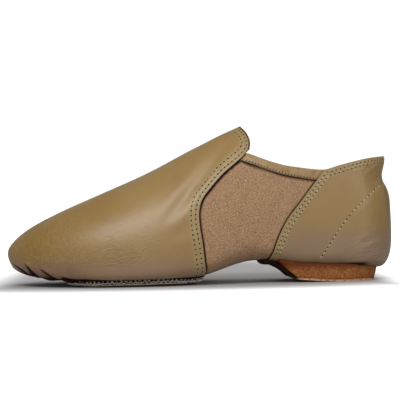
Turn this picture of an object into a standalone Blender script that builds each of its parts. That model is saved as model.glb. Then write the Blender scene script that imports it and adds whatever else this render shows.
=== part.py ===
"""Split-sole slip-on jazz shoe for the left foot, standing empty on its sole.

The toe points to -X, the outer (lateral) side to -Y, and Z is up from the floor.
Every leather and lining layer is worked out from one function, skin(), which gives
the outermost surface of the finished shoe, and from the depth of the layer below it.
Sizes are in millimetres and become metres where a mesh is made.
"""

import math

import bmesh
import bpy
import numpy as np

MM = 0.001

# Overall sizes
LENGTH = 250.0
BALL_WIDTH = 84.0
HEEL_WIDTH = 57.0
INSTEP_HEIGHT = 100.0
HEEL_LIFT = 10.3
TOE_SPRING = 10.4

# Thicknesses and clearances
LEATHER = 1.0
BASE_WALL = 1.4
BINDING = 0.9
SUEDE_SOLE = 1.8
TOP_PIECE = 1.5
BREAST_COVER = 1.2
INSOLE = 2.0
GAP = 0.3
EDGE_GAP = 0.45
SEAT_GAP = 0.55
TAB_INSET = 1.0
SOLE_STACK = SUEDE_SOLE + GAP

# Sole and heel sizes
SOLE_FRONT = 41.0
SOLE_LENGTH = 85.5
SOLE_EDGE_SHARE = 0.90
SOLE_END_POWER = 3.2
SOLE_FLATNESS = 0.35
OPENING_MARGIN = 8.0
OPENING_REACH = 6.0
HEEL_SEAT_LENGTH = 68.5
HEEL_EDGE_SHARE = 0.84
HEEL_REAR_INSET = 9.8
HEEL_TAPER = 1.6
BREAST_SLOPE = 1.35
BREAST_SKEW = 1.8
HEEL_FRONT_RISE = 2.1
HEEL_RISE_POWER = 1.3
HEEL_FLAT_LENGTH = 27.0
HEEL_ROUND_TURN = 82.0
HEEL_ROUND_LENGTH = 24.0
HEEL_ROUND_POWER = 0.8
TONGUE_LENGTH = 10.0
TONGUE_BEND = 3.5

# The narrowing above the heel's curve, at the back
PINCH_DEPTH = 3.4
PINCH_HEIGHT = 0.66
PINCH_SPREAD = 0.0775

# One row for each section, every 15 degrees from the toe's tip to the heel's back.
# Lateral and medial are shares of the local width, top a share of INSTEP_HEIGHT,
# spring a share of TOE_SPRING, rise a share of the heel's lift above the sole stack,
# widest and ridge shares of the section's height and width. The powers round it.
SECTION_STEP = 15.0
COLUMNS = ("lateral", "medial", "ridge", "top", "spring", "rise", "widest", "over", "under")
SECTIONS = (
    (-0.060, 0.268, 0.50, 0.290, 0.92, 0.00, 0.46, 2.00, 2.50),
    (-0.238, 0.405, 0.50, 0.383, 0.42, 0.00, 0.36, 2.10, 2.80),
    (-0.381, 0.476, 0.50, 0.480, 0.15, 0.00, 0.28, 2.10, 3.80),
    (-0.482, 0.500, 0.51, 0.588, 0.00, 0.00, 0.24, 2.00, 5.00),
    (-0.500, 0.476, 0.53, 0.716, 0.00, 0.00, 0.22, 1.95, 5.00),
    (-0.479, 0.418, 0.54, 0.878, 0.00, 0.20, 0.22, 1.90, 4.00),
    (-0.493, 0.436, 0.52, 1.020, 0.00, 1.29, 0.22, 1.90, 3.00),
    (-0.504, 0.496, 0.50, 1.080, 0.00, 1.06, 0.21, 2.00, 4.40),
    (-0.465, 0.526, 0.50, 1.080, 0.00, 0.94, 0.20, 2.10, 4.60),
    (-0.395, 0.491, 0.50, 1.020, 0.00, 0.78, 0.21, 2.10, 4.20),
    (-0.202, 0.307, 0.50, 0.850, 0.00, 1.05, 0.28, 2.10, 2.40),
)

# The tongue that runs forward of the heel, one row for each line across it: along is a
# share of its length, below of SEAT_GAP under the skin, thick of BREAST_COVER.
TONGUE_COLUMNS = ("along", "below", "thick", "width")
TONGUE = (
    (0.00, -1.60, 0.45, 0.60),
    (0.20, 0.40, 0.75, 0.80),
    (0.50, 1.00, 1.00, 0.95),
    (1.00, 1.00, 1.00, 1.00),
)
TOE_TIP = {"side": 0.107, "level": 0.54}
HEEL_BACK = {"side": 0.053, "level": 0.27}

# Lines of the pattern seen from the side: share of LENGTH from the toe, and share
# of INSTEP_HEIGHT from the floor. Both sides of the shoe follow them.
TAB_END = ((0.600, 1.060), (0.614, 1.003), (0.627, 0.962), (0.635, 0.915), (0.636, 0.875), (0.631, 0.846))
VAMP_SIDE = (
    (0.612, 0.792), (0.567, 0.700), (0.528, 0.590), (0.512, 0.535), (0.504, 0.460),
    (0.505, 0.380), (0.511, 0.268), (0.516, 0.149), (0.518, 0.098), (0.514, 0.050),
)
COLLAR_SIDE = (
    (0.640, 0.819), (0.680, 0.779), (0.720, 0.748), (0.760, 0.730), (0.800, 0.716), (0.824, 0.714),
)
COLLAR_BACK = ((0.841, 0.719), (0.883, 0.750), (0.926, 0.775), (0.973, 0.791), (1.010, 0.793))
BINDING_LOWER = (
    (0.600, 0.793), (0.612, 0.781), (0.639, 0.755), (0.671, 0.723), (0.708, 0.691), (0.746, 0.668),
    (0.783, 0.651), (0.806, 0.643), (0.830, 0.640),
)
QUARTER_FRONT = (
    (0.824, 0.714), (0.808, 0.664), (0.782, 0.583), (0.757, 0.503), (0.731, 0.423),
    (0.713, 0.349), (0.697, 0.261), (0.687, 0.192), (0.674, 0.130), (0.668, 0.090),
)

# How finely the surfaces are cut into facets
STATION_STEP = 6.0
RING_POINTS = 28
INSOLE_STATIONS = (4, 26)
INSOLE_REACH = 4
SOLE_ROWS = 20
OPENING_ROWS = 10
SOLE_COLUMNS = 12
HEEL_COLUMNS = 8
HEEL_STRAIGHT_ROWS = 5
HEEL_ROUND_ROWS = 8

COLOURS = {
    "leather": (0.33, 0.22, 0.12, 1.0),
    "lining": (0.36, 0.23, 0.15, 1.0),
    "suede": (0.42, 0.33, 0.25, 1.0),
    "heel": (0.34, 0.12, 0.045, 1.0),
    "sock": (0.38, 0.27, 0.18, 1.0),
}
ROUGHNESS = {"leather": 0.42, "lining": 0.95, "suede": 0.95, "heel": 0.85, "sock": 0.8}


def smooth_share(value, low, high):
    """0 below low, 1 above high, with a smooth change between them."""
    t = np.clip((value - low) / (high - low), 0.0, 1.0)
    return t * t * (3.0 - 2.0 * t)


def through_rows(values, place):
    """Catmull-Rom curve through evenly spaced values, read at a place counted in rows."""
    first = np.clip(np.floor(place).astype(int), 0, len(values) - 4)
    t = place - first
    a, b, c, d = (values[first + k] for k in range(4))
    return b + 0.5 * t * (c - a + t * (2 * a - 5 * b + 4 * c - d + t * (3 * (b - c) + d - a)))


def local_width(along):
    """The width that a section's shares follow: the ball's, then the heel's."""
    return BALL_WIDTH + (HEEL_WIDTH - BALL_WIDTH) * smooth_share(along, 0.45, 0.80)


def section_arrays():
    """Each section's sizes in millimetres, with both tips and the curve's turn past them."""
    table = {name: np.array([row[k] for row in SECTIONS]) for k, name in enumerate(COLUMNS)}
    angle = np.radians(SECTION_STEP * (1 + np.arange(len(SECTIONS))))
    width = local_width((1 - np.cos(angle)) / 2)
    lateral, medial = table["lateral"] * width, table["medial"] * width
    top = table["top"] * INSTEP_HEIGHT
    bottom = SOLE_STACK + table["spring"] * TOE_SPRING + table["rise"] * (HEEL_LIFT - SOLE_STACK)
    level = bottom + table["widest"] * (top - bottom)
    toe_side, heel_side = TOE_TIP["side"] * BALL_WIDTH, HEEL_BACK["side"] * HEEL_WIDTH
    toe_z = bottom[0] + TOE_TIP["level"] * (top[0] - bottom[0])
    heel_z = bottom[-1] + HEEL_BACK["level"] * (top[-1] - bottom[-1])

    def closed(one, other, at_toe, at_heel):
        return np.concatenate([[other[0], at_toe], one, [at_heel, other[-1]]])

    def held(column):
        values = table[column]
        return np.concatenate([[values[0]] * 2, values, [values[-1]] * 2])

    return {
        "lateral": closed(lateral, medial, toe_side, heel_side),
        "medial": closed(medial, lateral, toe_side, heel_side),
        "top": closed(top, bottom, toe_z, heel_z),
        "bottom": closed(bottom, top, toe_z, heel_z),
        "level": closed(level, level, toe_z, heel_z),
        "ridge": held("ridge"),
        "over": held("over"),
        "under": held("under"),
    }


SECTION = section_arrays()


def section_at(station):
    """The section's sizes at a station, an angle from 0 at the toe to 180 at the heel."""
    place = np.asarray(station, float) / SECTION_STEP
    found = {name: through_rows(values, place) for name, values in SECTION.items()}
    in_sole = smooth_share(station, 30.0, 55.0)
    found["bottom"] = np.where(in_sole > 0.99, np.maximum(found["bottom"], SOLE_STACK), found["bottom"])
    return found


def station_of(x):
    """The station whose section stands at x."""
    return np.degrees(np.arccos(np.clip(-2.0 * np.asarray(x, float) / LENGTH, -1.0, 1.0)))


def skin(station, turn):
    """Points of the finished shoe's outermost surface, in millimetres.

    Turn goes round a section in degrees: 0 under the foot, 90 at the lateral side,
    180 on the ridge and 270 at the medial side.
    """
    station, turn = np.broadcast_arrays(np.asarray(station, float), np.asarray(turn, float))
    size = section_at(station)
    x = -0.5 * LENGTH * np.cos(np.radians(station))
    side = np.where(turn <= 180.0, size["lateral"], size["medial"])
    upper = (turn > 90.0) & (turn < 270.0)
    ridge = size["lateral"] + size["ridge"] * (size["medial"] - size["lateral"])
    middle = np.where(upper, ridge, 0.5 * (size["lateral"] + size["medial"]))
    power = 2.0 / np.where(upper, size["over"], size["under"])
    across = np.abs(np.sin(np.radians(turn))) ** power
    along = np.abs(np.cos(np.radians(turn))) ** power
    far = np.where(upper, size["top"], size["bottom"])
    y = middle + (side - middle) * across
    z = size["level"] + (far - size["level"]) * along
    hollow = np.exp(-(((z / INSTEP_HEIGHT) - PINCH_HEIGHT) / PINCH_SPREAD) ** 2)
    x = x - PINCH_DEPTH * hollow * smooth_share(station, 135.0, 165.0)
    return np.stack([x, y, z], axis=-1)


def layer(station, turn, depth):
    """Points that lie the depth inside the skin, along its own normal."""
    station, turn = np.broadcast_arrays(np.asarray(station, float), np.asarray(turn, float))
    step = 0.5
    lengthwise = skin(np.minimum(station + step, 179.9), turn) - skin(np.maximum(station - step, 0.1), turn)
    around = skin(station, (turn + step) % 360.0) - skin(station, (turn - step) % 360.0)
    normal = np.cross(lengthwise, around)
    normal = normal / np.maximum(np.linalg.norm(normal, axis=-1, keepdims=True), 1e-9)
    return skin(station, turn) - depth * normal


def under_sides(x):
    """The middle and the half width of the skin's lower part at x."""
    size = section_at(station_of(x))
    return float(0.5 * (size["lateral"] + size["medial"])), float(0.5 * (size["medial"] - size["lateral"]))


def underside(x, y=None):
    """Height of the skin under the foot at x, in the middle or at y."""
    size = section_at(station_of(x))
    if y is None:
        return float(size["bottom"])
    middle, half = under_sides(x)
    across = min(abs(y - middle) / half, 1.0)
    along = (1.0 - across ** size["under"]) ** (1.0 / size["under"])
    return float(size["level"] + (size["bottom"] - size["level"]) * along)


def column_shares(count):
    """Shares from -1 to 1 across a piece, closer together towards both edges."""
    return [math.sin(math.pi * (c / count - 0.5)) for c in range(count + 1)]


def smooth_line(points, parts=3):
    """A Catmull-Rom curve through side-view points, as lengths in millimetres."""
    given = np.array(points, float)
    given = given * (LENGTH, INSTEP_HEIGHT) - (0.5 * LENGTH, 0.0)
    ends = np.vstack([2 * given[0] - given[1], given, 2 * given[-1] - given[-2]])
    places = np.linspace(0, len(given) - 1, parts * (len(given) - 1) + 1)
    return [tuple(through_rows(ends, np.array(place))) for place in places]


def moved(line, dx, dz):
    return [(x + dx, z + dz) for x, z in line]


def material(name):
    """The finish of one material, made once."""
    made = bpy.data.materials.get(name)
    if made:
        return made
    made = bpy.data.materials.new(name)
    made.use_nodes = True
    shader = made.node_tree.nodes["Principled BSDF"]
    shader.inputs["Base Color"].default_value = COLOURS[name]
    shader.inputs["Roughness"].default_value = ROUGHNESS[name]
    shader.inputs["Metallic"].default_value = 0.0
    return made


def add_solid(name, points, faces, finish):
    """An object from points in millimetres and faces turned outwards."""
    mesh = bpy.data.meshes.new(name)
    mesh.from_pydata([tuple(np.asarray(p, float) * MM) for p in points], [], faces)
    solid = bpy.data.objects.new(name, mesh)
    bpy.context.scene.collection.objects.link(solid)
    if finish:
        mesh.materials.append(material(finish))
    return solid


def face_outwards(solid):
    """Turns every face of a solid that is one closed body outwards."""
    work = bmesh.new()
    work.from_mesh(solid.data)
    bmesh.ops.triangulate(work, faces=work.faces)
    bmesh.ops.recalc_face_normals(work, faces=work.faces)
    if work.calc_volume(signed=True) < 0:
        bmesh.ops.reverse_faces(work, faces=work.faces)
    work.to_mesh(solid.data)
    work.free()
    return solid


def closed_form(depth):
    """Points and triangles of the whole closed form, the depth inside the skin."""
    stations = np.arange(STATION_STEP, 180.0, STATION_STEP)
    turns = np.arange(RING_POINTS) * 360.0 / RING_POINTS
    grid = layer(stations[:, None], turns[None, :], depth)
    toe = skin(0.0, 90.0) + (depth, 0.0, 0.0)
    heel = skin(180.0, 90.0) - (depth, 0.0, 0.0)
    points = [toe, heel] + list(grid.reshape(-1, 3))
    faces = []
    last = len(stations) - 1
    for j in range(RING_POINTS):
        k = (j + 1) % RING_POINTS
        faces.append((0, 2 + k, 2 + j))
        faces.append((1, 2 + last * RING_POINTS + j, 2 + last * RING_POINTS + k))
        for i in range(last):
            a, b = 2 + i * RING_POINTS + j, 2 + i * RING_POINTS + k
            c, d = b + RING_POINTS, a + RING_POINTS
            faces += [(a, b, c), (a, c, d)]
    return points, faces


def shell(name, outer_depth, inner_depth, finish):
    """The whole form as a hollow skin between two depths, before it is cut."""
    points, faces = closed_form(outer_depth)
    inner_points, inner_faces = closed_form(inner_depth)
    first = len(points)
    faces += [tuple(first + v for v in reversed(face)) for face in inner_faces]
    return add_solid(name, points + inner_points, faces, finish)


def side_prism(name, outline, y_low, y_high):
    """A cutter whose outline is drawn from the side and runs across the shoe."""
    count = len(outline)
    points = [(x, y_low, z) for x, z in outline] + [(x, y_high, z) for x, z in outline]
    faces = [tuple(range(count)), tuple(reversed(range(count, 2 * count)))]
    faces += [(k, k + count, (k + 1) % count + count, (k + 1) % count) for k in range(count)]
    return as_cutter(add_solid(name, points, faces, None))


def floor_prism(name, outline, z_low, z_high):
    """A cutter whose outline is drawn on the floor and stands upright."""
    count = len(outline)
    points = [(x, y, z_low) for x, y in outline] + [(x, y, z_high) for x, y in outline]
    faces = [tuple(range(count)), tuple(reversed(range(count, 2 * count)))]
    faces += [(k, k + count, (k + 1) % count + count, (k + 1) % count) for k in range(count)]
    return as_cutter(add_solid(name, points, faces, None))


def as_cutter(solid):
    face_outwards(solid)
    solid.hide_render = True
    solid.display_type = "WIRE"
    return solid


def cut(solid, cutter, operation):
    """Applies one Boolean with the exact solver."""
    step = solid.modifiers.new(f"{operation.lower()} {cutter.name}", "BOOLEAN")
    step.operation = operation
    step.solver = "EXACT"
    step.object = cutter


REACH = LENGTH
TAB_LINE = smooth_line(TAB_END + VAMP_SIDE)
COLLAR_LINE = smooth_line(COLLAR_SIDE + COLLAR_BACK)
QUARTER_LINE = smooth_line(QUARTER_FRONT)
BINDING_LINE = smooth_line(BINDING_LOWER)


def collar_cutter():
    """Everything above the collar and behind the tab."""
    tab = moved(smooth_line(TAB_END), -TAB_INSET, 0.0)
    line = tab + COLLAR_LINE
    outline = [(line[0][0], REACH)] + line + [(REACH, line[-1][1]), (REACH, REACH)]
    return side_prism("collar_cutter", outline, -REACH, REACH)


def stacked(name, rings, finish):
    """A solid lofted through rings of equal count, capped at both ends."""
    count = len(rings[0])
    points = [p for ring in rings for p in ring]
    faces = [tuple(range(count)), tuple(range(len(points) - 1, len(points) - count - 1, -1))]
    for i in range(len(rings) - 1):
        for k in range(count):
            a, b = i * count + k, i * count + (k + 1) % count
            faces.append((a, b, b + count, a + count))
    return face_outwards(add_solid(name, points, faces, finish))


def sole_rows(inset, count):
    """Rows along the suede sole: x, the middle and half the width, rounded at its ends."""
    front = -0.5 * LENGTH + SOLE_FRONT + inset
    back = front + SOLE_LENGTH - 2 * inset
    rows = []
    for k in range(count):
        cosine = math.cos(math.pi * (k + 0.5) / count)
        x = 0.5 * (front + back) - 0.5 * (back - front) * cosine
        middle, half = under_sides(x)
        end = (1 - abs(cosine) ** SOLE_END_POWER) ** (1 / SOLE_END_POWER)
        rows.append((x, middle, (SOLE_EDGE_SHARE * half - inset) * end))
    return rows


def forefoot_sole():
    """The suede patch under the ball: flat on the floor, and bent up at all its edges."""
    shares = column_shares(SOLE_COLUMNS)
    rings = []
    for x, middle, half in sole_rows(0.0, SOLE_ROWS):
        across = [middle + half * share for share in shares]
        skin_heights = [underside(x, y) for y in across]
        low = [(x, y, max(0.0, z - SOLE_STACK - SOLE_FLATNESS)) for y, z in zip(across, skin_heights)]
        high = [(x, y, z - GAP) for y, z in zip(across, skin_heights)]
        rings.append(low + high[::-1])
    return stacked("forefoot_sole", rings, "suede")


def forefoot_opening():
    """The opening in upper and vamp that the suede sole closes from below."""
    rows = sole_rows(OPENING_MARGIN, OPENING_ROWS)
    outline = [(x, middle - half) for x, middle, half in rows]
    outline += [(x, middle + half) for x, middle, half in reversed(rows)]
    return floor_prism("forefoot_opening", outline, -OPENING_REACH, SOLE_STACK + OPENING_REACH)


HEEL_REAR = 0.5 * LENGTH - HEEL_REAR_INSET
HEEL_FRONT = HEEL_REAR - HEEL_SEAT_LENGTH
BREAST_LEAN = math.hypot(1.0, BREAST_SLOPE)


def heel_floor(x):
    """The heel's underside: flat at the rear, and lifted a little towards the breast."""
    flat_from = HEEL_REAR - HEEL_FLAT_LENGTH
    front = HEEL_FRONT + BREAST_SLOPE * HEEL_LIFT
    share = max(0.0, (flat_from - x) / (flat_from - front))
    return HEEL_FRONT_RISE * share ** HEEL_RISE_POWER


def heel_sides(x, inset):
    """The middle and the half width of the heel at x, before its back is rounded."""
    middle, half = under_sides(x)
    return middle, HEEL_EDGE_SHARE * half - inset


def heel_rows(inset, drop):
    """Rows from the breast to the back on a level that lies the drop below the seat.

    Each is x, the middle, half the width and how far the lateral end leans back.
    """
    front = HEEL_FRONT + BREAST_SLOPE * drop
    rear = HEEL_REAR - inset
    centre = rear - HEEL_ROUND_LENGTH
    rows = []
    for k in range(HEEL_STRAIGHT_ROWS):
        share = k / HEEL_STRAIGHT_ROWS
        x = front + (centre - front) * share
        rows.append((x, *heel_sides(x, inset), BREAST_SKEW * (1 - share)))
    middle, half = heel_sides(centre, inset)
    for k in range(HEEL_ROUND_ROWS):
        turn = math.radians(HEEL_ROUND_TURN * k / (HEEL_ROUND_ROWS - 1))
        x = centre + HEEL_ROUND_LENGTH * math.sin(turn)
        rows.append((x, heel_sides(x, inset)[0], half * math.cos(turn) ** HEEL_ROUND_POWER, 0.0))
    return rows


def heel_layer(name, low_rows, high_rows, low_height, high_height, finish):
    """A solid between two sets of heel rows, each with its own height at x and y."""
    shares = column_shares(HEEL_COLUMNS)
    rings = []
    for low, high in zip(low_rows, high_rows):
        ring = []
        for (x, middle, half, lean), height, order in ((low, low_height, 1), (high, high_height, -1)):
            for share in shares[::order]:
                at, y = x - share * lean, middle + share * half
                ring.append((at, y, height(at, y)))
        rings.append(ring)
    return stacked(name, rings, finish)


def heel_block():
    """The suede-covered block, dished to the upper above and sloping at the breast."""
    behind = (BREAST_COVER + GAP) * BREAST_LEAN
    low = heel_rows(HEEL_TAPER, HEEL_LIFT - TOP_PIECE)
    high = heel_rows(0.0, 0.0)
    low[0] = (low[0][0] + behind,) + low[0][1:]
    high[0] = (high[0][0] + behind,) + high[0][1:]
    return heel_layer(
        "heel_block", low, high,
        lambda x, y: heel_floor(x) + TOP_PIECE + GAP,
        lambda x, y: underside(x, y) - SEAT_GAP,
        "heel",
    )


def heel_top_piece():
    """The thin wearing layer under the heel block."""
    rows = heel_rows(HEEL_TAPER, HEEL_LIFT)
    return heel_layer(
        "heel_top_piece", rows, rows,
        lambda x, y: heel_floor(x),
        lambda x, y: heel_floor(x) + TOP_PIECE,
        "suede",
    )


def heel_opening():
    """The opening in the upper and the quarter that the heel closes from below."""
    rows = heel_rows(OPENING_MARGIN, OPENING_MARGIN / BREAST_SLOPE)
    outline = [(x, middle - half) for x, middle, half, lean in rows]
    outline += [(x, middle + half) for x, middle, half, lean in reversed(rows)]
    return floor_prism("heel_opening", outline, HEEL_LIFT - OPENING_REACH, HEEL_LIFT + OPENING_REACH)


def breast_path():
    """The cover's middle line seen from the side: under the arch, then down the breast.

    Each row is x, z, thickness, the share of its width and how much it follows the arch.
    """
    corner = HEEL_FRONT + 0.5 * BREAST_COVER * BREAST_LEAN
    quarter_foot = QUARTER_LINE[-1][0] - EDGE_GAP
    rows = []
    for values in TONGUE:
        row = dict(zip(TONGUE_COLUMNS, values))
        x = corner - TONGUE_LENGTH + row["along"] * (TONGUE_LENGTH - TONGUE_BEND)
        below = row["below"] if x < quarter_foot else max(row["below"], 1.0)
        thick = row["thick"] * BREAST_COVER
        rows.append((x, underside(x) - below * SEAT_GAP - 0.5 * thick, thick, row["width"], 1.0))
    seat = underside(corner) - SEAT_GAP - 0.5 * BREAST_COVER
    foot = corner + BREAST_SLOPE * seat
    end = heel_floor(foot) + 0.5 * TOP_PIECE
    rows.append((corner - 0.1 * TONGUE_BEND, seat - 0.25 * TONGUE_BEND, BREAST_COVER, 1.0, 0.9))
    for share in (0.4, 0.7, 1.0):
        drop = share * (seat - end)
        rows.append((corner + BREAST_SLOPE * drop, seat - drop, BREAST_COVER, 1.0, 1.0 - share))
    return rows


def heel_breast_cover():
    """The suede tongue that comes forward into the arch and covers the breast."""
    rows = breast_path()
    away = np.gradient(np.array([row[:2] for row in rows]), axis=0)
    away /= np.linalg.norm(away, axis=1, keepdims=True)
    shares = column_shares(HEEL_COLUMNS)
    rings = []
    for k, (x, z, thick, width, follows) in enumerate(rows):
        middle, half = heel_sides(x, HEEL_TAPER)
        ring = []
        for side, order in ((-1, 1), (1, -1)):
            off = 0.5 * side * thick
            for share in shares[::order]:
                y = middle + half * width * share
                lift = follows * (underside(x, y) - underside(x))
                at = x - BREAST_SKEW * share * min(1.0, k / 3.0)
                ring.append((at - off * away[k, 1], y, z + lift + off * away[k, 0]))
        rings.append(ring)
    return stacked("heel_breast_cover", rings, "heel")


def insole():
    """The sock inside, lying on the upper's inner face from toe to heel."""
    below = LEATHER + GAP + BASE_WALL + GAP
    first, last = INSOLE_STATIONS
    turns = (np.arange(INSOLE_REACH, -INSOLE_REACH - 1, -1) % RING_POINTS) * 360.0 / RING_POINTS
    rings = []
    for k in range(first, last + 1):
        low = layer(k * STATION_STEP, turns, below)
        high = layer(k * STATION_STEP, turns, below + INSOLE)
        rings.append([tuple(p) for p in low] + [tuple(p) for p in high[::-1]])
    return stacked("insole", rings, "sock")


def upper():
    """The lining and elastic of the whole shoe, one wall, open at collar and soles."""
    made = shell("upper", LEATHER + GAP, LEATHER + GAP + BASE_WALL, "lining")
    cut(made, collar_cutter(), "DIFFERENCE")
    cut(made, bpy.data.objects["forefoot_opening"], "DIFFERENCE")
    cut(made, bpy.data.objects["heel_opening"], "DIFFERENCE")
    return made


def vamp_outline(name, gap):
    """Everything in front of the vamp's edge, with a gap beyond it."""
    line = moved(TAB_LINE, gap, 0.0)
    outline = [(-REACH, -REACH), (-REACH, REACH), (line[0][0], REACH)] + line + [(line[-1][0], -REACH)]
    return side_prism(name, outline, -REACH, REACH)


def quarter_outline(name, gap):
    """Everything behind the quarter's front edge and under the collar, with a gap."""
    front = moved(QUARTER_LINE, -gap, 0.0)
    back = smooth_line(QUARTER_FRONT[:1] + COLLAR_BACK)
    outline = list(reversed(front)) + back[1:]
    outline += [(REACH, back[-1][1]), (REACH, -REACH), (front[-1][0], -REACH)]
    return side_prism(name, outline, -REACH, REACH)


def vamp():
    """The front leather, from under the toe to the tab, cut along the elastic."""
    made = shell("vamp", 0.0, LEATHER, "leather")
    cut(made, vamp_outline("vamp_outline", 0.0), "INTERSECT")
    cut(made, bpy.data.objects["forefoot_opening"], "DIFFERENCE")
    return made


def quarter():
    """The heel leather, from the elastic round the back, up to the collar."""
    made = shell("quarter", 0.0, LEATHER, "leather")
    cut(made, quarter_outline("quarter_outline", 0.0), "INTERSECT")
    cut(made, bpy.data.objects["heel_opening"], "DIFFERENCE")
    return made


def collar_binding(name, y_low, y_high):
    """The leather binding along the elastic's top edge on one side."""
    made = shell(name, LEATHER - BINDING, LEATHER, "leather")
    top = smooth_line(TAB_END[-1:] + COLLAR_SIDE)
    band = top + list(reversed(BINDING_LINE))
    cut(made, side_prism(f"{name}_band", band, y_low, y_high), "INTERSECT")
    cut(made, bpy.data.objects["beyond_vamp"], "DIFFERENCE")
    cut(made, bpy.data.objects["beyond_quarter"], "DIFFERENCE")
    return made


def main():
    for old in list(bpy.data.objects):
        bpy.data.objects.remove(old)
    forefoot_opening()
    heel_opening()
    vamp_outline("beyond_vamp", EDGE_GAP)
    quarter_outline("beyond_quarter", EDGE_GAP)
    made = [upper(), vamp(), quarter()]
    made.append(collar_binding("collar_binding_lateral", -REACH, 0.0))
    made.append(collar_binding("collar_binding_medial", 0.0, REACH))
    made += [insole(), forefoot_sole(), heel_breast_cover(), heel_block(), heel_top_piece()]
    for solid in made:
        solid.data.shade_smooth()
        solid.data.set_sharp_from_angle(angle=math.radians(40.0))


main()
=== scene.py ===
# %% [markdown]
# # A slip-on jazz shoe in leather, stretch fabric and suede
# The shoe is one soft form, the last, dressed in thin layers: leather over the toes and round
# the heel, a stretch panel between them, and a suede sole in two parts. So this scene first
# repeats the form as a function, and then lays every layer on it. That way each piece lies
# where its neighbour expects it, from any side.

# %% Load the fixed frame
import math
import random

import bpy
import numpy as np
from mathutils import Matrix, Vector


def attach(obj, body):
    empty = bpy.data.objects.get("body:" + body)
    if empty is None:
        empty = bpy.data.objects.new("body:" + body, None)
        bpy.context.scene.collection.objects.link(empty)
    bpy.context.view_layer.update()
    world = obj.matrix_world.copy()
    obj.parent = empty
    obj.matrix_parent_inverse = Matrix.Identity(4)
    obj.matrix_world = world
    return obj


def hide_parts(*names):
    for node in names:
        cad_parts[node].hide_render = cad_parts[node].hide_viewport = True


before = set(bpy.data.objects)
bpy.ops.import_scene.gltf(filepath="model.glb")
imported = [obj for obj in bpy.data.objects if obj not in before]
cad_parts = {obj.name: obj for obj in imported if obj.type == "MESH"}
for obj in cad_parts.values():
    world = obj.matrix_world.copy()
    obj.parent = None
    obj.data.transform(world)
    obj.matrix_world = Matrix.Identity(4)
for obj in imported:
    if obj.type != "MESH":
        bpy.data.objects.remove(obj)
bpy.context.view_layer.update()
MM = 0.001

# %% [markdown]
# ## The form
# The finished shoe's outermost surface is a row of cross-sections from the toe's tip to the
# heel's back. Each has a width, a top, a bottom and a roundness, given as shares of the shoe's
# own sizes, and a smooth curve runs through them. A station is an angle along the shoe, 0 at
# the toe and 180 at the heel, so that the rows crowd together where the form closes.

# %% Sizes and sections, in millimetres and shares
LENGTH = 250.0
BALL_WIDTH = 84.0
HEEL_WIDTH = 57.0
INSTEP_HEIGHT = 100.0
HEEL_LIFT = 10.3
TOE_SPRING = 10.4
SUEDE_SOLE = 1.8
GAP = 0.3
SEAT_GAP = 0.55
SOLE_STACK = SUEDE_SOLE + GAP
PINCH_DEPTH = 3.4
PINCH_HEIGHT = 0.66
PINCH_SPREAD = 0.0775
SECTION_STEP = 15.0
COLUMNS = ("lateral", "medial", "ridge", "top", "spring", "rise", "widest", "over", "under")
SECTIONS = (
    (-0.060, 0.268, 0.50, 0.290, 0.92, 0.00, 0.46, 2.00, 2.50),
    (-0.238, 0.405, 0.50, 0.383, 0.42, 0.00, 0.36, 2.10, 2.80),
    (-0.381, 0.476, 0.50, 0.480, 0.15, 0.00, 0.28, 2.10, 3.80),
    (-0.482, 0.500, 0.51, 0.588, 0.00, 0.00, 0.24, 2.00, 5.00),
    (-0.500, 0.476, 0.53, 0.716, 0.00, 0.00, 0.22, 1.95, 5.00),
    (-0.479, 0.418, 0.54, 0.878, 0.00, 0.20, 0.22, 1.90, 4.00),
    (-0.493, 0.436, 0.52, 1.020, 0.00, 1.29, 0.22, 1.90, 3.00),
    (-0.504, 0.496, 0.50, 1.080, 0.00, 1.06, 0.21, 2.00, 4.40),
    (-0.465, 0.526, 0.50, 1.080, 0.00, 0.94, 0.20, 2.10, 4.60),
    (-0.395, 0.491, 0.50, 1.020, 0.00, 0.78, 0.21, 2.10, 4.20),
    (-0.202, 0.307, 0.50, 0.850, 0.00, 1.05, 0.28, 2.10, 2.40),
)
TOE_TIP = {"side": 0.107, "level": 0.54}
HEEL_BACK = {"side": 0.053, "level": 0.27}


# %% Curves through rows of values
def smooth_share(value, low, high):
    """0 below low, 1 above high, with a smooth change between them."""
    t = np.clip((value - low) / (high - low), 0.0, 1.0)
    return t * t * (3.0 - 2.0 * t)


def through_rows(values, place):
    """A smooth curve through evenly spaced values, read at a place counted in rows."""
    first = np.clip(np.floor(place).astype(int), 0, len(values) - 4)
    t = (place - first).reshape(np.shape(place) + (1,) * (values.ndim - 1))
    a, b, c, d = (values[first + k] for k in range(4))
    return b + 0.5 * t * (c - a + t * (2 * a - 5 * b + 4 * c - d + t * (3 * (b - c) + d - a)))


def unit(rows):
    """Directions of length 1."""
    return rows / np.linalg.norm(rows, axis=-1, keepdims=True)


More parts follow.
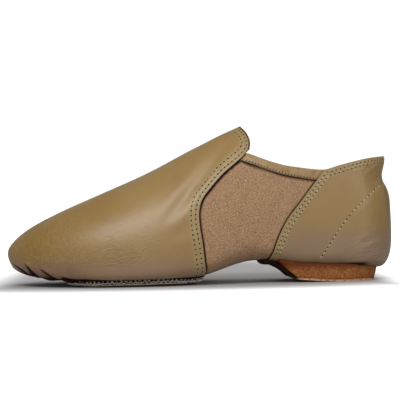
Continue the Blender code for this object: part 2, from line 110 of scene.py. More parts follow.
def section_arrays():
    """Each section's sizes in millimetres, carried past both tips."""
    table = {name: np.array([row[k] for row in SECTIONS]) for k, name in enumerate(COLUMNS)}
    angle = np.radians(SECTION_STEP * (1 + np.arange(len(SECTIONS))))
    width = BALL_WIDTH + (HEEL_WIDTH - BALL_WIDTH) * smooth_share((1 - np.cos(angle)) / 2, 0.45, 0.80)
    lateral, medial = table["lateral"] * width, table["medial"] * width
    top = table["top"] * INSTEP_HEIGHT
    bottom = SOLE_STACK + table["spring"] * TOE_SPRING + table["rise"] * (HEEL_LIFT - SOLE_STACK)
    level = bottom + table["widest"] * (top - bottom)
    toe_side, heel_side = TOE_TIP["side"] * BALL_WIDTH, HEEL_BACK["side"] * HEEL_WIDTH
    toe_z = bottom[0] + TOE_TIP["level"] * (top[0] - bottom[0])
    heel_z = bottom[-1] + HEEL_BACK["level"] * (top[-1] - bottom[-1])

    def closed(one, other, at_toe=toe_z, at_heel=heel_z):
        return np.concatenate([[other[0], at_toe], one, [at_heel, other[-1]]])

    def held(column):
        values = table[column]
        return np.concatenate([[values[0]] * 2, values, [values[-1]] * 2])

    return {
        "lateral": closed(lateral, medial, toe_side, heel_side),
        "medial": closed(medial, lateral, toe_side, heel_side),
        "top": closed(top, bottom),
        "bottom": closed(bottom, top),
        "level": closed(level, level),
        **{name: held(name) for name in ("ridge", "over", "under")},
    }


SECTION = section_arrays()
print("sections:", len(SECTIONS), "and two tips")


# %% [markdown]
# ## A skin that any layer can follow
# `skin` turns a station and a turn round the section into a point. `turn_at` lets us walk
# round a section in even steps instead: 0 is under the foot, 1 the widest line, 2 the ridge,
# and minus on the inner side. `on_skin` goes a depth below the skin along its own normal, which
# is how a maker thinks: 1 mm of leather, then the lining.

# %% The skin and its layers
def section_at(station):
    place = np.asarray(station, float) / SECTION_STEP
    found = {name: through_rows(values, place) for name, values in SECTION.items()}
    bottom, in_sole = found["bottom"], smooth_share(station, 30.0, 55.0) > 0.99
    found["bottom"] = np.where(in_sole, np.maximum(bottom, SOLE_STACK), bottom)
    return found


def station_of(x):
    return np.degrees(np.arccos(np.clip(-2.0 * np.asarray(x, float) / LENGTH, -1.0, 1.0)))


def turn_at(station, around):
    """The turn in degrees for an even walk round the section at a station."""
    station, around = np.broadcast_arrays(np.asarray(station, float), np.asarray(around, float))
    power = 0.5 * section_at(station)["under"]
    low = np.clip(np.abs(around), 0.0, 1.0)
    lower = 90.0 * low ** power / (low ** power + (1.0 - low) ** power)
    turn = lower + 90.0 * np.clip(np.abs(around) - 1.0, 0.0, 1.0)
    return np.where(around < 0.0, (360.0 - turn) % 360.0, turn)


def skin(station, turn):
    """Points of the outermost surface: turn is 0 below, 90 outer, 180 ridge, 270 inner."""
    station, turn = np.broadcast_arrays(np.asarray(station, float), np.asarray(turn, float))
    size = section_at(station)
    x = -0.5 * LENGTH * np.cos(np.radians(station))
    side = np.where(turn <= 180.0, size["lateral"], size["medial"])
    upper = (turn > 90.0) & (turn < 270.0)
    ridge = size["lateral"] + size["ridge"] * (size["medial"] - size["lateral"])
    middle = np.where(upper, ridge, 0.5 * (size["lateral"] + size["medial"]))
    power = 2.0 / np.where(upper, size["over"], size["under"])
    across = np.abs(np.sin(np.radians(turn))) ** power
    along = np.abs(np.cos(np.radians(turn))) ** power
    far = np.where(upper, size["top"], size["bottom"])
    y = middle + (side - middle) * across
    z = size["level"] + (far - size["level"]) * along
    hollow = np.exp(-(((z / INSTEP_HEIGHT) - PINCH_HEIGHT) / PINCH_SPREAD) ** 2)
    x = x - PINCH_DEPTH * hollow * smooth_share(station, 135.0, 165.0)
    return np.stack([x, y, z], axis=-1)


def outward(station, turn):
    """The skin's unit normal, read between neighbouring points."""
    station = np.clip(station, 1.5, 178.5)
    lengthwise = skin(station + 0.5, turn) - skin(station - 0.5, turn)
    around = skin(station, (turn + 0.5) % 360.0) - skin(station, (turn - 0.5) % 360.0)
    normal = np.cross(lengthwise, around)
    return normal / np.maximum(np.linalg.norm(normal, axis=-1, keepdims=True), 1e-9)


def on_skin(station, around, depth=0.0):
    """Points at a depth below the skin, with their normals, by an even walk round."""
    turn = turn_at(station, around)
    normals = outward(station, turn)
    return skin(station, turn) - depth * normals, normals


def underside(x, y):
    """Height of the skin under the foot at x and y."""
    size = section_at(station_of(x))
    middle, half = 0.5 * (size["lateral"] + size["medial"]), 0.5 * (size["medial"] - size["lateral"])
    across = np.minimum(np.abs(y - middle) / half, 1.0)
    along = (1.0 - across ** size["under"]) ** (1.0 / size["under"])
    return size["level"] + (size["bottom"] - size["level"]) * along


print("ridge at the tab:", np.round(on_skin(104.0, 2.0)[0], 1))

# %% [markdown]
# ## Pattern lines
# A shoemaker draws the panels' edges on the last. Here they are drawn from the side, as shares
# of the length and of the instep's height, and both sides of the shoe follow them. Rows of
# stitches run at a fixed distance from such an edge, so the lines can be moved sideways.

# %% The lines of the panels
TAB_END = ((0.600, 1.060), (0.614, 1.003), (0.627, 0.962), (0.635, 0.915), (0.636, 0.875), (0.631, 0.846))
VAMP_SIDE = (
    (0.612, 0.792), (0.567, 0.700), (0.528, 0.590), (0.512, 0.535), (0.504, 0.460),
    (0.505, 0.380), (0.511, 0.268), (0.516, 0.149), (0.518, 0.098), (0.514, 0.050),
)
COLLAR_SIDE = ((0.640, 0.819), (0.680, 0.779), (0.720, 0.748), (0.760, 0.730), (0.800, 0.716), (0.824, 0.714))
COLLAR_BACK = ((0.841, 0.719), (0.883, 0.750), (0.926, 0.775), (0.973, 0.791), (1.010, 0.793))
BINDING_LOWER = (
    (0.560, 0.835), (0.612, 0.781), (0.639, 0.755), (0.671, 0.723), (0.708, 0.691), (0.746, 0.668),
    (0.783, 0.651), (0.806, 0.643), (0.860, 0.640),
)
QUARTER_FRONT = (
    (0.824, 0.714), (0.808, 0.664), (0.782, 0.583), (0.757, 0.503), (0.731, 0.423),
    (0.713, 0.349), (0.697, 0.261), (0.687, 0.192), (0.674, 0.130), (0.668, 0.090),
)
COUNTER_SEAM = (
    (1.028, 0.640), (1.004, 0.626), (0.963, 0.595), (0.935, 0.539), (0.901, 0.465),
    (0.874, 0.391), (0.847, 0.298), (0.822, 0.205), (0.801, 0.131), (0.793, 0.090),
)


def drawn(points, parts=6):
    """A smooth side-view line in millimetres, as an array of x and z."""
    given = np.array(points, float) * (LENGTH, INSTEP_HEIGHT) - (0.5 * LENGTH, 0.0)
    ends = np.vstack([2 * given[0] - given[1], given, 2 * given[-1] - given[-2]])
    places = np.linspace(0, len(given) - 1, parts * (len(given) - 1) + 1)
    return through_rows(ends, places)


def beside(line, distance):
    """The line moved sideways, to the toe's side of a line that runs down."""
    along = unit(np.gradient(line, axis=0))
    return line + distance * np.stack([along[:, 1], -along[:, 0]], axis=1)


def x_at(line, z):
    """Where an upright line stands at height z."""
    order = np.argsort(line[:, 1])
    return np.interp(z, line[order, 1], line[order, 0])


def z_at(line, x):
    """How high a lengthwise line runs at x."""
    order = np.argsort(line[:, 0])
    return np.interp(x, line[order, 0], line[order, 1])


VAMP_LINE = drawn(TAB_END + VAMP_SIDE)
QUARTER_LINE = drawn(QUARTER_FRONT)
COLLAR_LINE = drawn(((0.560, 0.900),) + COLLAR_SIDE + COLLAR_BACK)
BINDING_LINE = drawn(BINDING_LOWER)
COUNTER_LINE = drawn(COUNTER_SEAM)
LINES = (VAMP_LINE, QUARTER_LINE, COLLAR_LINE, BINDING_LINE, COUNTER_LINE)
print("points in each line:", [len(line) for line in LINES])

# %% [markdown]
# ## From drawn line to place on the form
# A line is drawn from the side, but the form is walked by station and by the way round. So for
# each step round a section we halve an interval until the point stands on the line. The answers
# go into small tables, which every panel then reads.

# %% Tables of where the lines run on the form
AROUND = np.linspace(0.0, 2.0, 241)
STATIONS = np.linspace(0.0, 180.0, 361)
HALVINGS, SETTLING_STEPS = 30, 40
VAMP_REACH, QUARTER_REACH, COUNTER_REACH = (60.0, 140.0), (90.0, 150.0), (100.0, 179.0)


def halved(below, above, point_of, short_of):
    """Halves an interval until the point at its middle stands on the line."""
    for _ in range(HALVINGS):
        middle = 0.5 * (below + above)
        short = short_of(point_of(middle))
        below, above = np.where(short, middle, below), np.where(short, above, middle)
    return 0.5 * (below + above)


def stations_on(line, low, high):
    """For each step round the section, the station where the form meets an upright line."""
    return halved(
        np.full_like(AROUND, low), np.full_like(AROUND, high),
        lambda middle: skin(middle, turn_at(middle, AROUND)),
        lambda point: point[:, 0] < x_at(line, point[:, 2]),
    )


def around_on(line):
    """For each station, how far round the section the form meets a lengthwise line."""
    return halved(
        np.full_like(STATIONS, 1.0), np.full_like(STATIONS, 2.0),
        lambda middle: skin(STATIONS, turn_at(STATIONS, middle)),
        lambda point: point[:, 2] < z_at(line, point[:, 0]),
    )


VAMP_EDGE = stations_on(VAMP_LINE, *VAMP_REACH)
QUARTER_EDGE = stations_on(QUARTER_LINE, 90.0, 140.0)
COLLAR_EDGE = around_on(COLLAR_LINE)
BINDING_EDGE = around_on(BINDING_LINE)
CLOSED_TOP = np.full_like(STATIONS, 2.0)
print("vamp edge stations:", VAMP_EDGE.min().round(1), VAMP_EDGE.max().round(1))


def place_on(u, v, front, rear, top):
    """Station and way round for shares u, from front to rear, and v, from inner to outer top."""
    station = np.full_like(u, 100.0)
    for _ in range(SETTLING_STEPS):
        around = np.abs(v) * np.interp(station, STATIONS, top)
        first, last = np.interp(around, AROUND, front), np.interp(around, AROUND, rear)
        station = 0.5 * station + 0.5 * (first + u * (last - first))
    return station, np.where(v < 0.0, -around, around)


# %% [markdown]
# ## Sheets
# Every panel starts as a plane grid, whose two directions become shares along the shoe and
# round it. Its points are laid on the form, doubles at the toe and along the ridge are merged,
# and Solidify gives the sheet its thickness inwards. A small bevel rounds the cut edge, as a
# skived leather edge is.

# %% Making bodies
def only(made):
    bpy.ops.object.select_all(action="DESELECT")
    made.select_set(True)
    bpy.context.view_layer.objects.active = made


def primitive(name, add, **settings):
    """Adds one of the plain bodies under a name."""
    bpy.ops.object.select_all(action="DESELECT")
    add(**settings)
    made = bpy.context.active_object
    made.name = made.data.name = name
    return made


def points_of(made):
    flat = np.empty(len(made.data.vertices) * 3)
    made.data.vertices.foreach_get("co", flat)
    return flat.reshape(-1, 3)


def moved_to(made, points):
    """Puts a mesh's points at places given in millimetres."""
    made.data.vertices.foreach_set("co", (np.asarray(points) * MM).ravel())
    made.data.update()


def in_edit_mode(made, *steps, every=True):
    """Runs operators with their settings on all of a mesh, or on what is selected."""
    only(made)
    bpy.ops.object.mode_set(mode="EDIT")
    if every:
        bpy.ops.mesh.select_all(action="SELECT")
    for step, settings in steps:
        step(**settings)
    bpy.ops.object.mode_set(mode="OBJECT")


def grid(name, along, round_about):
    """A plane grid with u and v from 0 to 1 and -1 to 1, ready to be laid."""
    add = bpy.ops.mesh.primitive_grid_add
    made = primitive(name, add, x_subdivisions=along, y_subdivisions=round_about, size=2.0)
    points = points_of(made)
    return made, 0.5 * (points[:, 0] + 1.0), points[:, 1]


def note(made, name, values):
    """Keeps a value for each point, which a material can read."""
    kept = made.data.attributes.new(name, "FLOAT", "POINT")
    kept.data.foreach_set("value", np.asarray(values, np.float32))


def laid(made, points, towards):
    """Lays a grid on its places, merges doubles and faces it towards a direction."""
    moved_to(made, points)
    middle = made.data.polygons[len(made.data.polygons) // 2]
    steps = [(bpy.ops.mesh.remove_doubles, {"threshold": 0.00001})]
    if middle.normal.dot(Vector(towards[middle.vertices[0]])) < 0.0:
        steps.insert(0, (bpy.ops.mesh.flip_normals, {}))
    in_edit_mode(made, *steps)


def bevelled(made, edge, angle, smooth=50.0):
    """Rounds the edges sharper than an angle and shades the rest smooth."""
    if edge:
        round_off = made.modifiers.new("edge", "BEVEL")
        round_off.width, round_off.segments = edge * MM, 2
        round_off.limit_method, round_off.angle_limit = "ANGLE", math.radians(angle)
        bpy.ops.object.modifier_apply(modifier=round_off.name)
    bpy.ops.object.shade_smooth_by_angle(angle=math.radians(smooth))
    return made


def thickened(made, thickness, edge=0.25, angle=55.0, inwards=True):
    """Gives a sheet its thickness and a rounded edge."""
    only(made)
    wall = made.modifiers.new("thickness", "SOLIDIFY")
    wall.thickness, wall.offset = thickness * MM, -1.0 if inwards else 1.0
    wall.use_even_offset, wall.thickness_clamp = inwards, float(inwards)
    bpy.ops.object.modifier_apply(modifier=wall.name)
    return bevelled(made, edge, angle)


def packed(share, marks, places):
    """Brings rows closer together where a sheet carries detail."""
    return np.sign(share) * np.interp(np.abs(share), marks, places)


EVENLY = ((0.0, 1.0), (0.0, 1.0))


def on_form(name, cells, front, rear, top, along=EVENLY, turned=EVENLY):
    """A grid with its ways round, its points and its normals between lines on the form."""
    made, u, v = grid(name, *cells)
    station, around = place_on(packed(u, *along), packed(v, *turned), front, rear, top)
    return made, around, *on_skin(station, around)


def handed(made, slot, *nodes):
    """Rides with the shoe and stands for CAD nodes, which it hides. The slot is not used."""
    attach(made, "root")
    if nodes:
        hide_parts(*nodes)
    print(made.name, "triangles:", sum(len(face.vertices) - 2 for face in made.data.polygons))
    return made


# %% [markdown]
# ## Creases and pleats
# Where the flat leather is drawn in under the toe it has to fold: the gathers that a maker
# pleats by hand with pincers. Each is a line on the form with a sharp valley on it and a soft
# swelling behind, and the valley is painted dark as shade. They are placed one by one, as in the
# photograph on the outer side, and with small differences on the inner side, because no two
# gathers are alike.

# %% Pleats under the toe
TOE_PART = -60.0
PLEAT_BENDS = (0.0, 0.6, 1.0)
PLEAT_COLUMNS = ("x_start", "around_start", "x_end", "around_end", "depth", "width")
PLEATS = (
    (-0.482, 0.700, -0.444, 0.500, 1.3, 1.05),
    (-0.446, 0.860, -0.413, 0.500, 2.0, 1.25),
    (-0.404, 0.770, -0.350, 0.420, 2.0, 1.30),
    (-0.350, 0.620, -0.304, 0.450, 1.4, 1.15),
    (-0.490, 0.300, -0.455, 0.200, 1.0, 0.90),
    (-0.492, -0.150, -0.455, -0.120, 1.1, 0.95),
    (-0.484, -0.560, -0.440, -0.400, 1.3, 1.00),
    (-0.462, -0.780, -0.425, -0.480, 1.7, 1.15),
    (-0.424, -0.760, -0.378, -0.460, 1.8, 1.20),
    (-0.376, -0.660, -0.330, -0.460, 1.4, 1.10),
)


def pleated(points, normals):
    """How far the pleats lift or sink each point, and how much painted shade darkens its valley."""
    lift, painted_shade = np.zeros(len(points)), np.zeros(len(points))
    near = np.where(points[:, 0] < TOE_PART)[0]
    share = np.linspace(0.0, 1.0, 60)
    for values in PLEATS:
        row = dict(zip(PLEAT_COLUMNS, values))
        reach = (row["x_start"], row["x_end"], row["x_end"] + 0.030)
        ends = (row["around_start"], row["around_end"], 0.45 * row["around_end"])
        station = station_of(LENGTH * np.interp(share, PLEAT_BENDS, reach))
        path = on_skin(station, np.interp(share, PLEAT_BENDS, ends))[0]
        gap = points[near][:, None, :] - path[None, :, :]
        closest = np.argmin((gap ** 2).sum(-1), axis=1)
        off, heading = gap[np.arange(len(near)), closest], unit(np.gradient(path, axis=0))[closest]
        across = (off * np.cross(normals[near], heading)).sum(-1) * np.sign(row["around_start"])
        beyond, away = (off * heading).sum(-1), (off * normals[near]).sum(-1)
        along = share[closest]
        wide = row["width"] * (0.50 + 1.9 * smooth_share(along, 0.0, 0.60))
        strength = smooth_share(along, 0.0, 0.16) * (1 - 0.7 * smooth_share(along, 0.85, 1.0))
        strength = strength * np.exp(-(beyond / 1.2) ** 2 - (away / 3.0) ** 2)
        valley = np.exp(-((across + 0.5 * wide) / (0.9 * wide)) ** 2)
        swell = np.exp(-((across - 1.3 * wide) / (1.3 * wide)) ** 2)
        # Painted shade in the valley of each pleat.
        dark = 3.0 * strength * np.exp(-((across + 0.45 * wide) / (0.95 * wide)) ** 2) - 0.15
        lift[near] += strength * row["depth"] * (0.50 * swell - 0.75 * valley)
        painted_shade[near] = np.maximum(painted_shade[near], np.clip(dark, 0.0, 1.0))
    return lift, painted_shade


print("pleats:", len(PLEATS))


# %% [markdown]
# ## Main creases
# Soft leather keeps the memory of the last and of the hand. The broad creases are few, so they
# are modelled: a long fold beside the vamp's edge where the leather is drawn to the stretch
# panel, the puckers at the tab, and the folds low on the heel.

# %% Soft troughs and ridges
CREASE_COLUMNS = ("x_start", "z_start", "x_end", "z_end", "depth", "width")
VAMP_CREASES = (
    (0.074, 0.880, -0.070, 0.435, 0.85, 3.6),
    (-0.002, 0.380, -0.080, 0.300, 0.35, 4.2),
    (0.085, 0.960, 0.100, 0.925, 0.12, 0.9),
    (0.078, 0.935, 0.092, 0.900, 0.12, 0.9),
    (0.070, 0.905, 0.083, 0.878, 0.10, 0.9),
)
QUARTER_CREASES = (
    (0.470, 0.300, 0.400, 0.230, 0.13, 1.6),
    (0.480, 0.240, 0.415, 0.175, 0.16, 1.5),
    (0.466, 0.190, 0.400, 0.150, 0.13, 1.4),
    (0.440, 0.330, 0.390, 0.290, 0.14, 1.6),
    (0.462, 0.760, 0.420, 0.690, 0.14, 1.2),
    (0.440, 0.755, 0.395, 0.690, 0.12, 1.2),
    (0.475, 0.730, 0.440, 0.670, 0.14, 1.2),
)
HEM_WIDTH, GROOVE_WIDTH = 7.0, 0.55


def creased(points, table):
    """Soft troughs drawn from the side, with a lower swelling on both sides of each."""
    lift = np.zeros(len(points))
    for values in table:
        row = dict(zip(CREASE_COLUMNS, values))
        start = np.array([row["x_start"] * LENGTH, row["z_start"] * INSTEP_HEIGHT])
        way = np.array([row["x_end"] * LENGTH, row["z_end"] * INSTEP_HEIGHT]) - start
        reach = np.linalg.norm(way)
        way = way / reach
        off = points[:, [0, 2]] - start
        along = (off @ way) / reach
        across = (off[:, 0] * way[1] - off[:, 1] * way[0]) / row["width"]
        fade = smooth_share(along, -0.3, 0.35) * (1 - smooth_share(along, 0.65, 1.3))
        lift += row["depth"] * fade * (-np.exp(-across ** 2) + 0.5 * np.exp(-(np.abs(across) - 1.8) ** 2))
    return lift


def hem(distance, rows):
    """The relief beside a stitched edge: a soft puff with a groove along each row."""
    lift = 0.10 * smooth_share(distance, HEM_WIDTH, 1.5)
    for row in rows:
        lift = lift - 0.16 * np.exp(-((distance - row) / GROOVE_WIDTH) ** 2)
    return lift


def from_line(line, points):
    """Distance of points from a side-view line, in millimetres."""
    gap = points[:, None, [0, 2]] - line[None, :, :]
    return np.sqrt((gap ** 2).sum(-1).min(axis=1))


# %% [markdown]
# ## The vamp
# One piece of smooth leather over the toes and the instep, up to the tab. Its rear edge lies on
# the stretch panel with two rows of stitches. The grid's last row runs exactly along that edge,
# so the hem, the grooves and the cut edge are clean.

# %% Vamp
LEATHER_THICK = 0.95
VAMP_ROWS = (2.3, 5.2)
DENSE_VAMP = drawn(TAB_END + VAMP_SIDE, 30)
SOLE_SEAM = np.array((
    (-96.0, 5.0), (-84.2, 6.0), (-68.6, 4.6), (-52.2, 3.6), (-36.7, 3.5), (-20.6, 3.8), (-8.0, 4.4),
    (4.0, 5.2),
))
TOE_END, HEEL_END = np.zeros_like(AROUND), np.full_like(AROUND, 180.0)


def vamp_relief(points):
    """Creases and hem of the vamp, which its stitches follow too."""
    return creased(points, VAMP_CREASES) + hem(from_line(DENSE_VAMP, points), VAMP_ROWS)


def make_vamp():
    made, around, points, normals = on_form(
        "vamp_leather", (222, 176), TOE_END, VAMP_EDGE, CLOSED_TOP,
        ((0.0, 0.58, 0.81, 1.0), (0.0, 0.50, 0.955, 1.0)),
        ((0.0, 0.14, 0.58, 0.92, 1.0), (0.0, 0.15, 0.45, 0.93, 1.0)),
    )
    x, z, low = points[:, 0], points[:, 2], np.abs(around)
    lift, painted_shade = pleated(points, normals)
    above = z - z_at(SOLE_SEAM, x)
    at_sole = smooth_share(x, -96.0, -86.0) * smooth_share(low, 1.0, 0.8)
    lift = lift + vamp_relief(points) - 0.45 * at_sole * np.exp(-(above / 0.9) ** 2)
    # Painted shade under the toe's tip.
    shade_under_toe = 0.95 * smooth_share(x, -119.5, -110.0) * smooth_share(low, 0.60, 0.46)
    from_edge = from_line(DENSE_VAMP, points)
    # The cut edge is darkened: partly the raw edge's own darker colour, partly painted shade, wider at the
    # tab where the lining beyond lies in shadow.
    cut_edge = 0.85 * smooth_share(from_edge - 0.7 * smooth_share(z, 82.0, 88.0), 0.5, 0.2)
    # Painted shade along the seam to the suede sole.
    at_seam = at_sole * smooth_share(above, 1.0, 0.2)
    # Painted shade, kept as one value that darkens the leather's colour.
    dark = (painted_shade, shade_under_toe * smooth_share(x, -70.0, -84.0), cut_edge, at_seam)
    note(made, "painted_shade", np.max(dark, axis=0))
    note(made, "hem", smooth_share(from_edge, 7.5, 5.8))
    laid(made, points + normals * lift[:, None], normals)
    return thickened(made, LEATHER_THICK)


vamp = handed(make_vamp(), "leather", "vamp")


# %% [markdown]
# ## The quarter
# The leather round the heel. It starts at the stretch panel, wraps the heel and meets itself
# at the back. Its topline is turned in and stitched twice, and one more row marks the stiffener
# inside, which makers call the counter.

# %% Quarter
QUARTER_ROWS = (2.0, 4.2)
DENSE_QUARTER = drawn(QUARTER_FRONT, 30)
DENSE_TOP = drawn(QUARTER_FRONT[:1] + COLLAR_BACK, 30)
DENSE_COUNTER = drawn(COUNTER_SEAM, 30)


def from_quarter_edge(points):
    return np.minimum(from_line(DENSE_QUARTER, points), from_line(DENSE_TOP, points))


def quarter_relief(points):
    """Creases, hem and counter edge of the quarter, which its stitches follow too."""
    behind = smooth_share(points[:, 0] - x_at(DENSE_COUNTER, points[:, 2]), -0.5, 2.5)
    pressed = 0.18 * np.exp(-(from_line(DENSE_COUNTER, points) / 0.6) ** 2)
    edge = hem(from_quarter_edge(points), QUARTER_ROWS)
    return creased(points, QUARTER_CREASES) + edge + 0.35 * behind - pressed


def make_quarter():
    made, around, points, normals = on_form(
        "quarter_leather", (120, 190), QUARTER_EDGE, HEEL_END, COLLAR_EDGE,
        ((0.0, 0.30, 1.0), (0.0, 0.09, 1.0)), ((0.0, 0.72, 1.0), (0.0, 0.86, 1.0)),
    )
    # Painted shade on the quarter's lowest strip above the heel, weaker behind it.
    shade_above_heel = smooth_share(points[:, 2], 12.9, 11.6) * smooth_share(np.abs(around), 0.8, 0.6)
    note(made, "painted_shade", shade_above_heel * (1.0 - 0.85 * smooth_share(points[:, 0], 103.0, 111.0)))
    note(made, "hem", smooth_share(from_quarter_edge(points), 6.0, 4.8))
    laid(made, points + normals * quarter_relief(points)[:, None], normals)
    return thickened(made, LEATHER_THICK)


quarter = handed(make_quarter(), "leather", "quarter")


# %% [markdown]
# ## Stretch panel and linings
# Between the two leathers a stretch panel runs from one collar edge down, under the arch, and
# up to the other. It is the whole wall there. Under the leather the wall goes on as lining, so
# a look into the shoe finds cloth from heel to toe.

# %% Stretch panel
WALL_OUT = 1.02
WALL = 1.6
HIDDEN = 5.0
CORNER = 1.28


def shifted(edge, distance):
    """A table of stations moved along the shoe by a distance in millimetres."""
    return station_of(-0.5 * LENGTH * np.cos(np.radians(edge)) + distance)


GUSSET_TOP = np.interp(np.maximum(STATIONS, 102.5), STATIONS, COLLAR_EDGE) - 0.035
GUSSET_FRONT = np.interp(np.minimum(AROUND, CORNER), AROUND, shifted(VAMP_EDGE, -HIDDEN))
GUSSET_FRONT += 12.0 * np.maximum(AROUND - CORNER, 0.0)


def make_gusset():
    made, around, points, normals = on_form(
        "stretch_panel", (112, 170), GUSSET_FRONT, shifted(QUARTER_EDGE, HIDDEN), GUSSET_TOP
    )
    to_vamp, to_quarter = from_line(DENSE_VAMP, points), from_line(DENSE_QUARTER, points)
    to_band = np.abs(points[:, 2] - z_at(BINDING_LINE, points[:, 0]))
    # Painted shade: dark lines on the panel beside the vamp, the quarter and the binding, whose edges
    # overhang it.
    shade = np.maximum(smooth_share(to_vamp, 1.7, 0.6), 0.9 * smooth_share(to_quarter, 1.3, 0.4))
    shade = np.maximum(shade, smooth_share(to_band, 1.6, 0.6) * (np.abs(around) > 1.0))
    note(made, "seam", shade)
    laid(made, points - normals * (WALL_OUT + 0.15 * shade)[:, None], normals)
    return thickened(made, WALL, edge=0.0)


gusset = handed(make_gusset(), "stretch_lining", "upper")


# %% Linings under the leathers
LINING_REAR = np.where(AROUND < 1.56, GUSSET_FRONT - 0.15, shifted(VAMP_EDGE, -0.4))


def make_lining(name, cells, front, rear, top):
    made, around, points, normals = on_form(name, cells, front, rear, top)
    laid(made, points - WALL_OUT * normals, normals)
    return handed(thickened(made, WALL, edge=0.2), "stretch_lining", "upper")


vamp_lining = make_lining("vamp_lining", (90, 120), TOE_END, LINING_REAR, CLOSED_TOP)
quarter_lining = make_lining(
    "quarter_lining", (60, 110), shifted(QUARTER_EDGE, HIDDEN + 0.3), HEEL_END, COLLAR_EDGE - 0.004
)


# %% [markdown]
# ## Collar bindings
# A strip of leather is folded over the stretch panel's top edge on each side and stitched once
# near its lower edge. It is a plump strip with a rounded top, so the grid's second direction
# goes round the strip's own cross-section, and its ends dive under the two leathers.

# %% Bindings
BAND_FRONT, BAND_REAR = 99.0, 132.0


def make_binding(name, side):
    made, u, v = grid(name, 80, 28)
    station = BAND_FRONT + u * (BAND_REAR - BAND_FRONT)
    low, high = (np.interp(station, STATIONS, edge) for edge in (BINDING_EDGE, COLLAR_EDGE))
    angle = math.pi * (v + 1.0)
    up = 0.5 + 0.5 * np.sign(np.sin(angle)) * np.abs(np.sin(angle)) ** 0.38
    out = np.sign(np.cos(angle)) * np.abs(np.cos(angle)) ** 0.55
    points, normals = on_skin(station, side * (low + up * (high - low)))
    x, z = points[:, 0], points[:, 2]
    under_vamp = smooth_share(x_at(VAMP_LINE, z) + 0.8 - x, -0.9, 0.6)
    under_quarter = smooth_share(x - x_at(QUARTER_LINE, z) + 0.8, -0.9, 0.6)
    tuck = np.maximum(under_vamp, under_quarter)
    groove = 0.22 * np.exp(-(((up * 10.5) - 1.7) / 0.6) ** 2) * (out > 0)
    outer, inner = 0.12 + 0.95 * tuck + groove, 2.75 - 0.1 * tuck
    depth = 0.5 * (outer + inner) - 0.5 * out * (inner - outer)
    # Painted shade along the binding's lower edge.
    note(made, "painted_shade", smooth_share(up, 0.10, 0.02))
    laid(made, points - depth[:, None] * normals, normals * np.where(out > 0, 1.0, -1.0)[:, None])
    in_edit_mode(
        made, (bpy.ops.mesh.select_all, {"action": "DESELECT"}),
        (bpy.ops.mesh.select_non_manifold, {"extend": False}), (bpy.ops.mesh.fill, {}),
        (bpy.ops.mesh.select_all, {"action": "SELECT"}),
        (bpy.ops.mesh.normals_make_consistent, {"inside": False}),
    )
    return bevelled(made, 0.0, 0.0, 60.0)


binding_lateral = handed(make_binding("binding_lateral", 1.0), "leather", "collar_binding_lateral")
binding_medial = handed(make_binding("binding_medial", -1.0), "leather", "collar_binding_medial")


# %% [markdown]
# ## The sock
# A thin padded sock lies on the inside from toe to heel. It is a narrow sheet on the form's
# floor, a little way up both sides.

# %% Sock
SOCK_FRONT, SOCK_REAR, SOCK_SIDE = 24.0, 156.0, 0.62
SOCK_DEPTH, SOCK_THICK = 3.0, 2.0


def make_sock():
    made, u, v = grid("sock", 80, 30)
    points, normals = on_skin(SOCK_FRONT + u * (SOCK_REAR - SOCK_FRONT), SOCK_SIDE * v)
    laid(made, points - SOCK_DEPTH * normals, -normals)
    return thickened(made, SOCK_THICK, edge=0.6, angle=30.0, inwards=False)


sock = handed(make_sock(), "sock", "insole")


# %% [markdown]
# ## Suede sole under the ball
# A patch of thick suede, flat on the floor, with a rounded outline and edges that turn up a
# little. Suede is cut, not finished, so its edge is pale and ragged: the outline wobbles by a
# few tenths, and tufts of fibre stand out of it.

# %% Forefoot sole
SOLE_FRONT = 41.0
SOLE_LENGTH = 85.5
SOLE_EDGE_SHARE = 0.90
SOLE_END_POWER = 3.2
SOLE_FLATNESS = 0.35
RAGGED_BY = 0.22


def sole_half(cosine):
    """x, the middle and half the width of the suede patch, from its front to its back."""
    x = -0.5 * LENGTH + SOLE_FRONT + 0.5 * SOLE_LENGTH * (1.0 - cosine)
    size = section_at(station_of(x))
    half = 0.5 * (size["medial"] - size["lateral"])
    end = (1 - np.abs(cosine) ** SOLE_END_POWER) ** (1 / SOLE_END_POWER)
    return x, 0.5 * (size["lateral"] + size["medial"]), SOLE_EDGE_SHARE * half * end


def sole_floor(x, y):
    return np.maximum(0.0, underside(x, y) - SOLE_STACK - SOLE_FLATNESS)


def make_sole():
    made, u, v = grid("suede_sole", 150, 60)
    x, middle, half = sole_half(np.cos(math.pi * (0.004 + 0.992 * u)))
    across = np.sin(0.5 * math.pi * v)
    wobble = np.sin(x * 2.9) * np.sin(x * 7.3 + 1.0) + 0.7 * np.sin(x * 13.1 + 2.0 * np.sign(v))
    y = middle + across * (half + RAGGED_BY * wobble * np.abs(across) ** 12)
    note(made, "rim", smooth_share(np.abs(across), 0.93, 0.995))
    laid(made, np.stack([x, y, sole_floor(x, y)], axis=-1), np.tile((0.0, 0.0, -1.0), (len(x), 1)))
    return thickened(made, SUEDE_SOLE, edge=0.35, angle=50.0)


suede_sole = handed(make_sole(), "sole_suede", "forefoot_sole")

# %% [markdown]
# ## Heel
# The heel is a low block covered in suede. From the side its front slopes, its underside rises
# a little to the front, and its back is round. A tongue of suede comes forward into the arch
# and covers the slope, and a thin wearing layer closes it below.

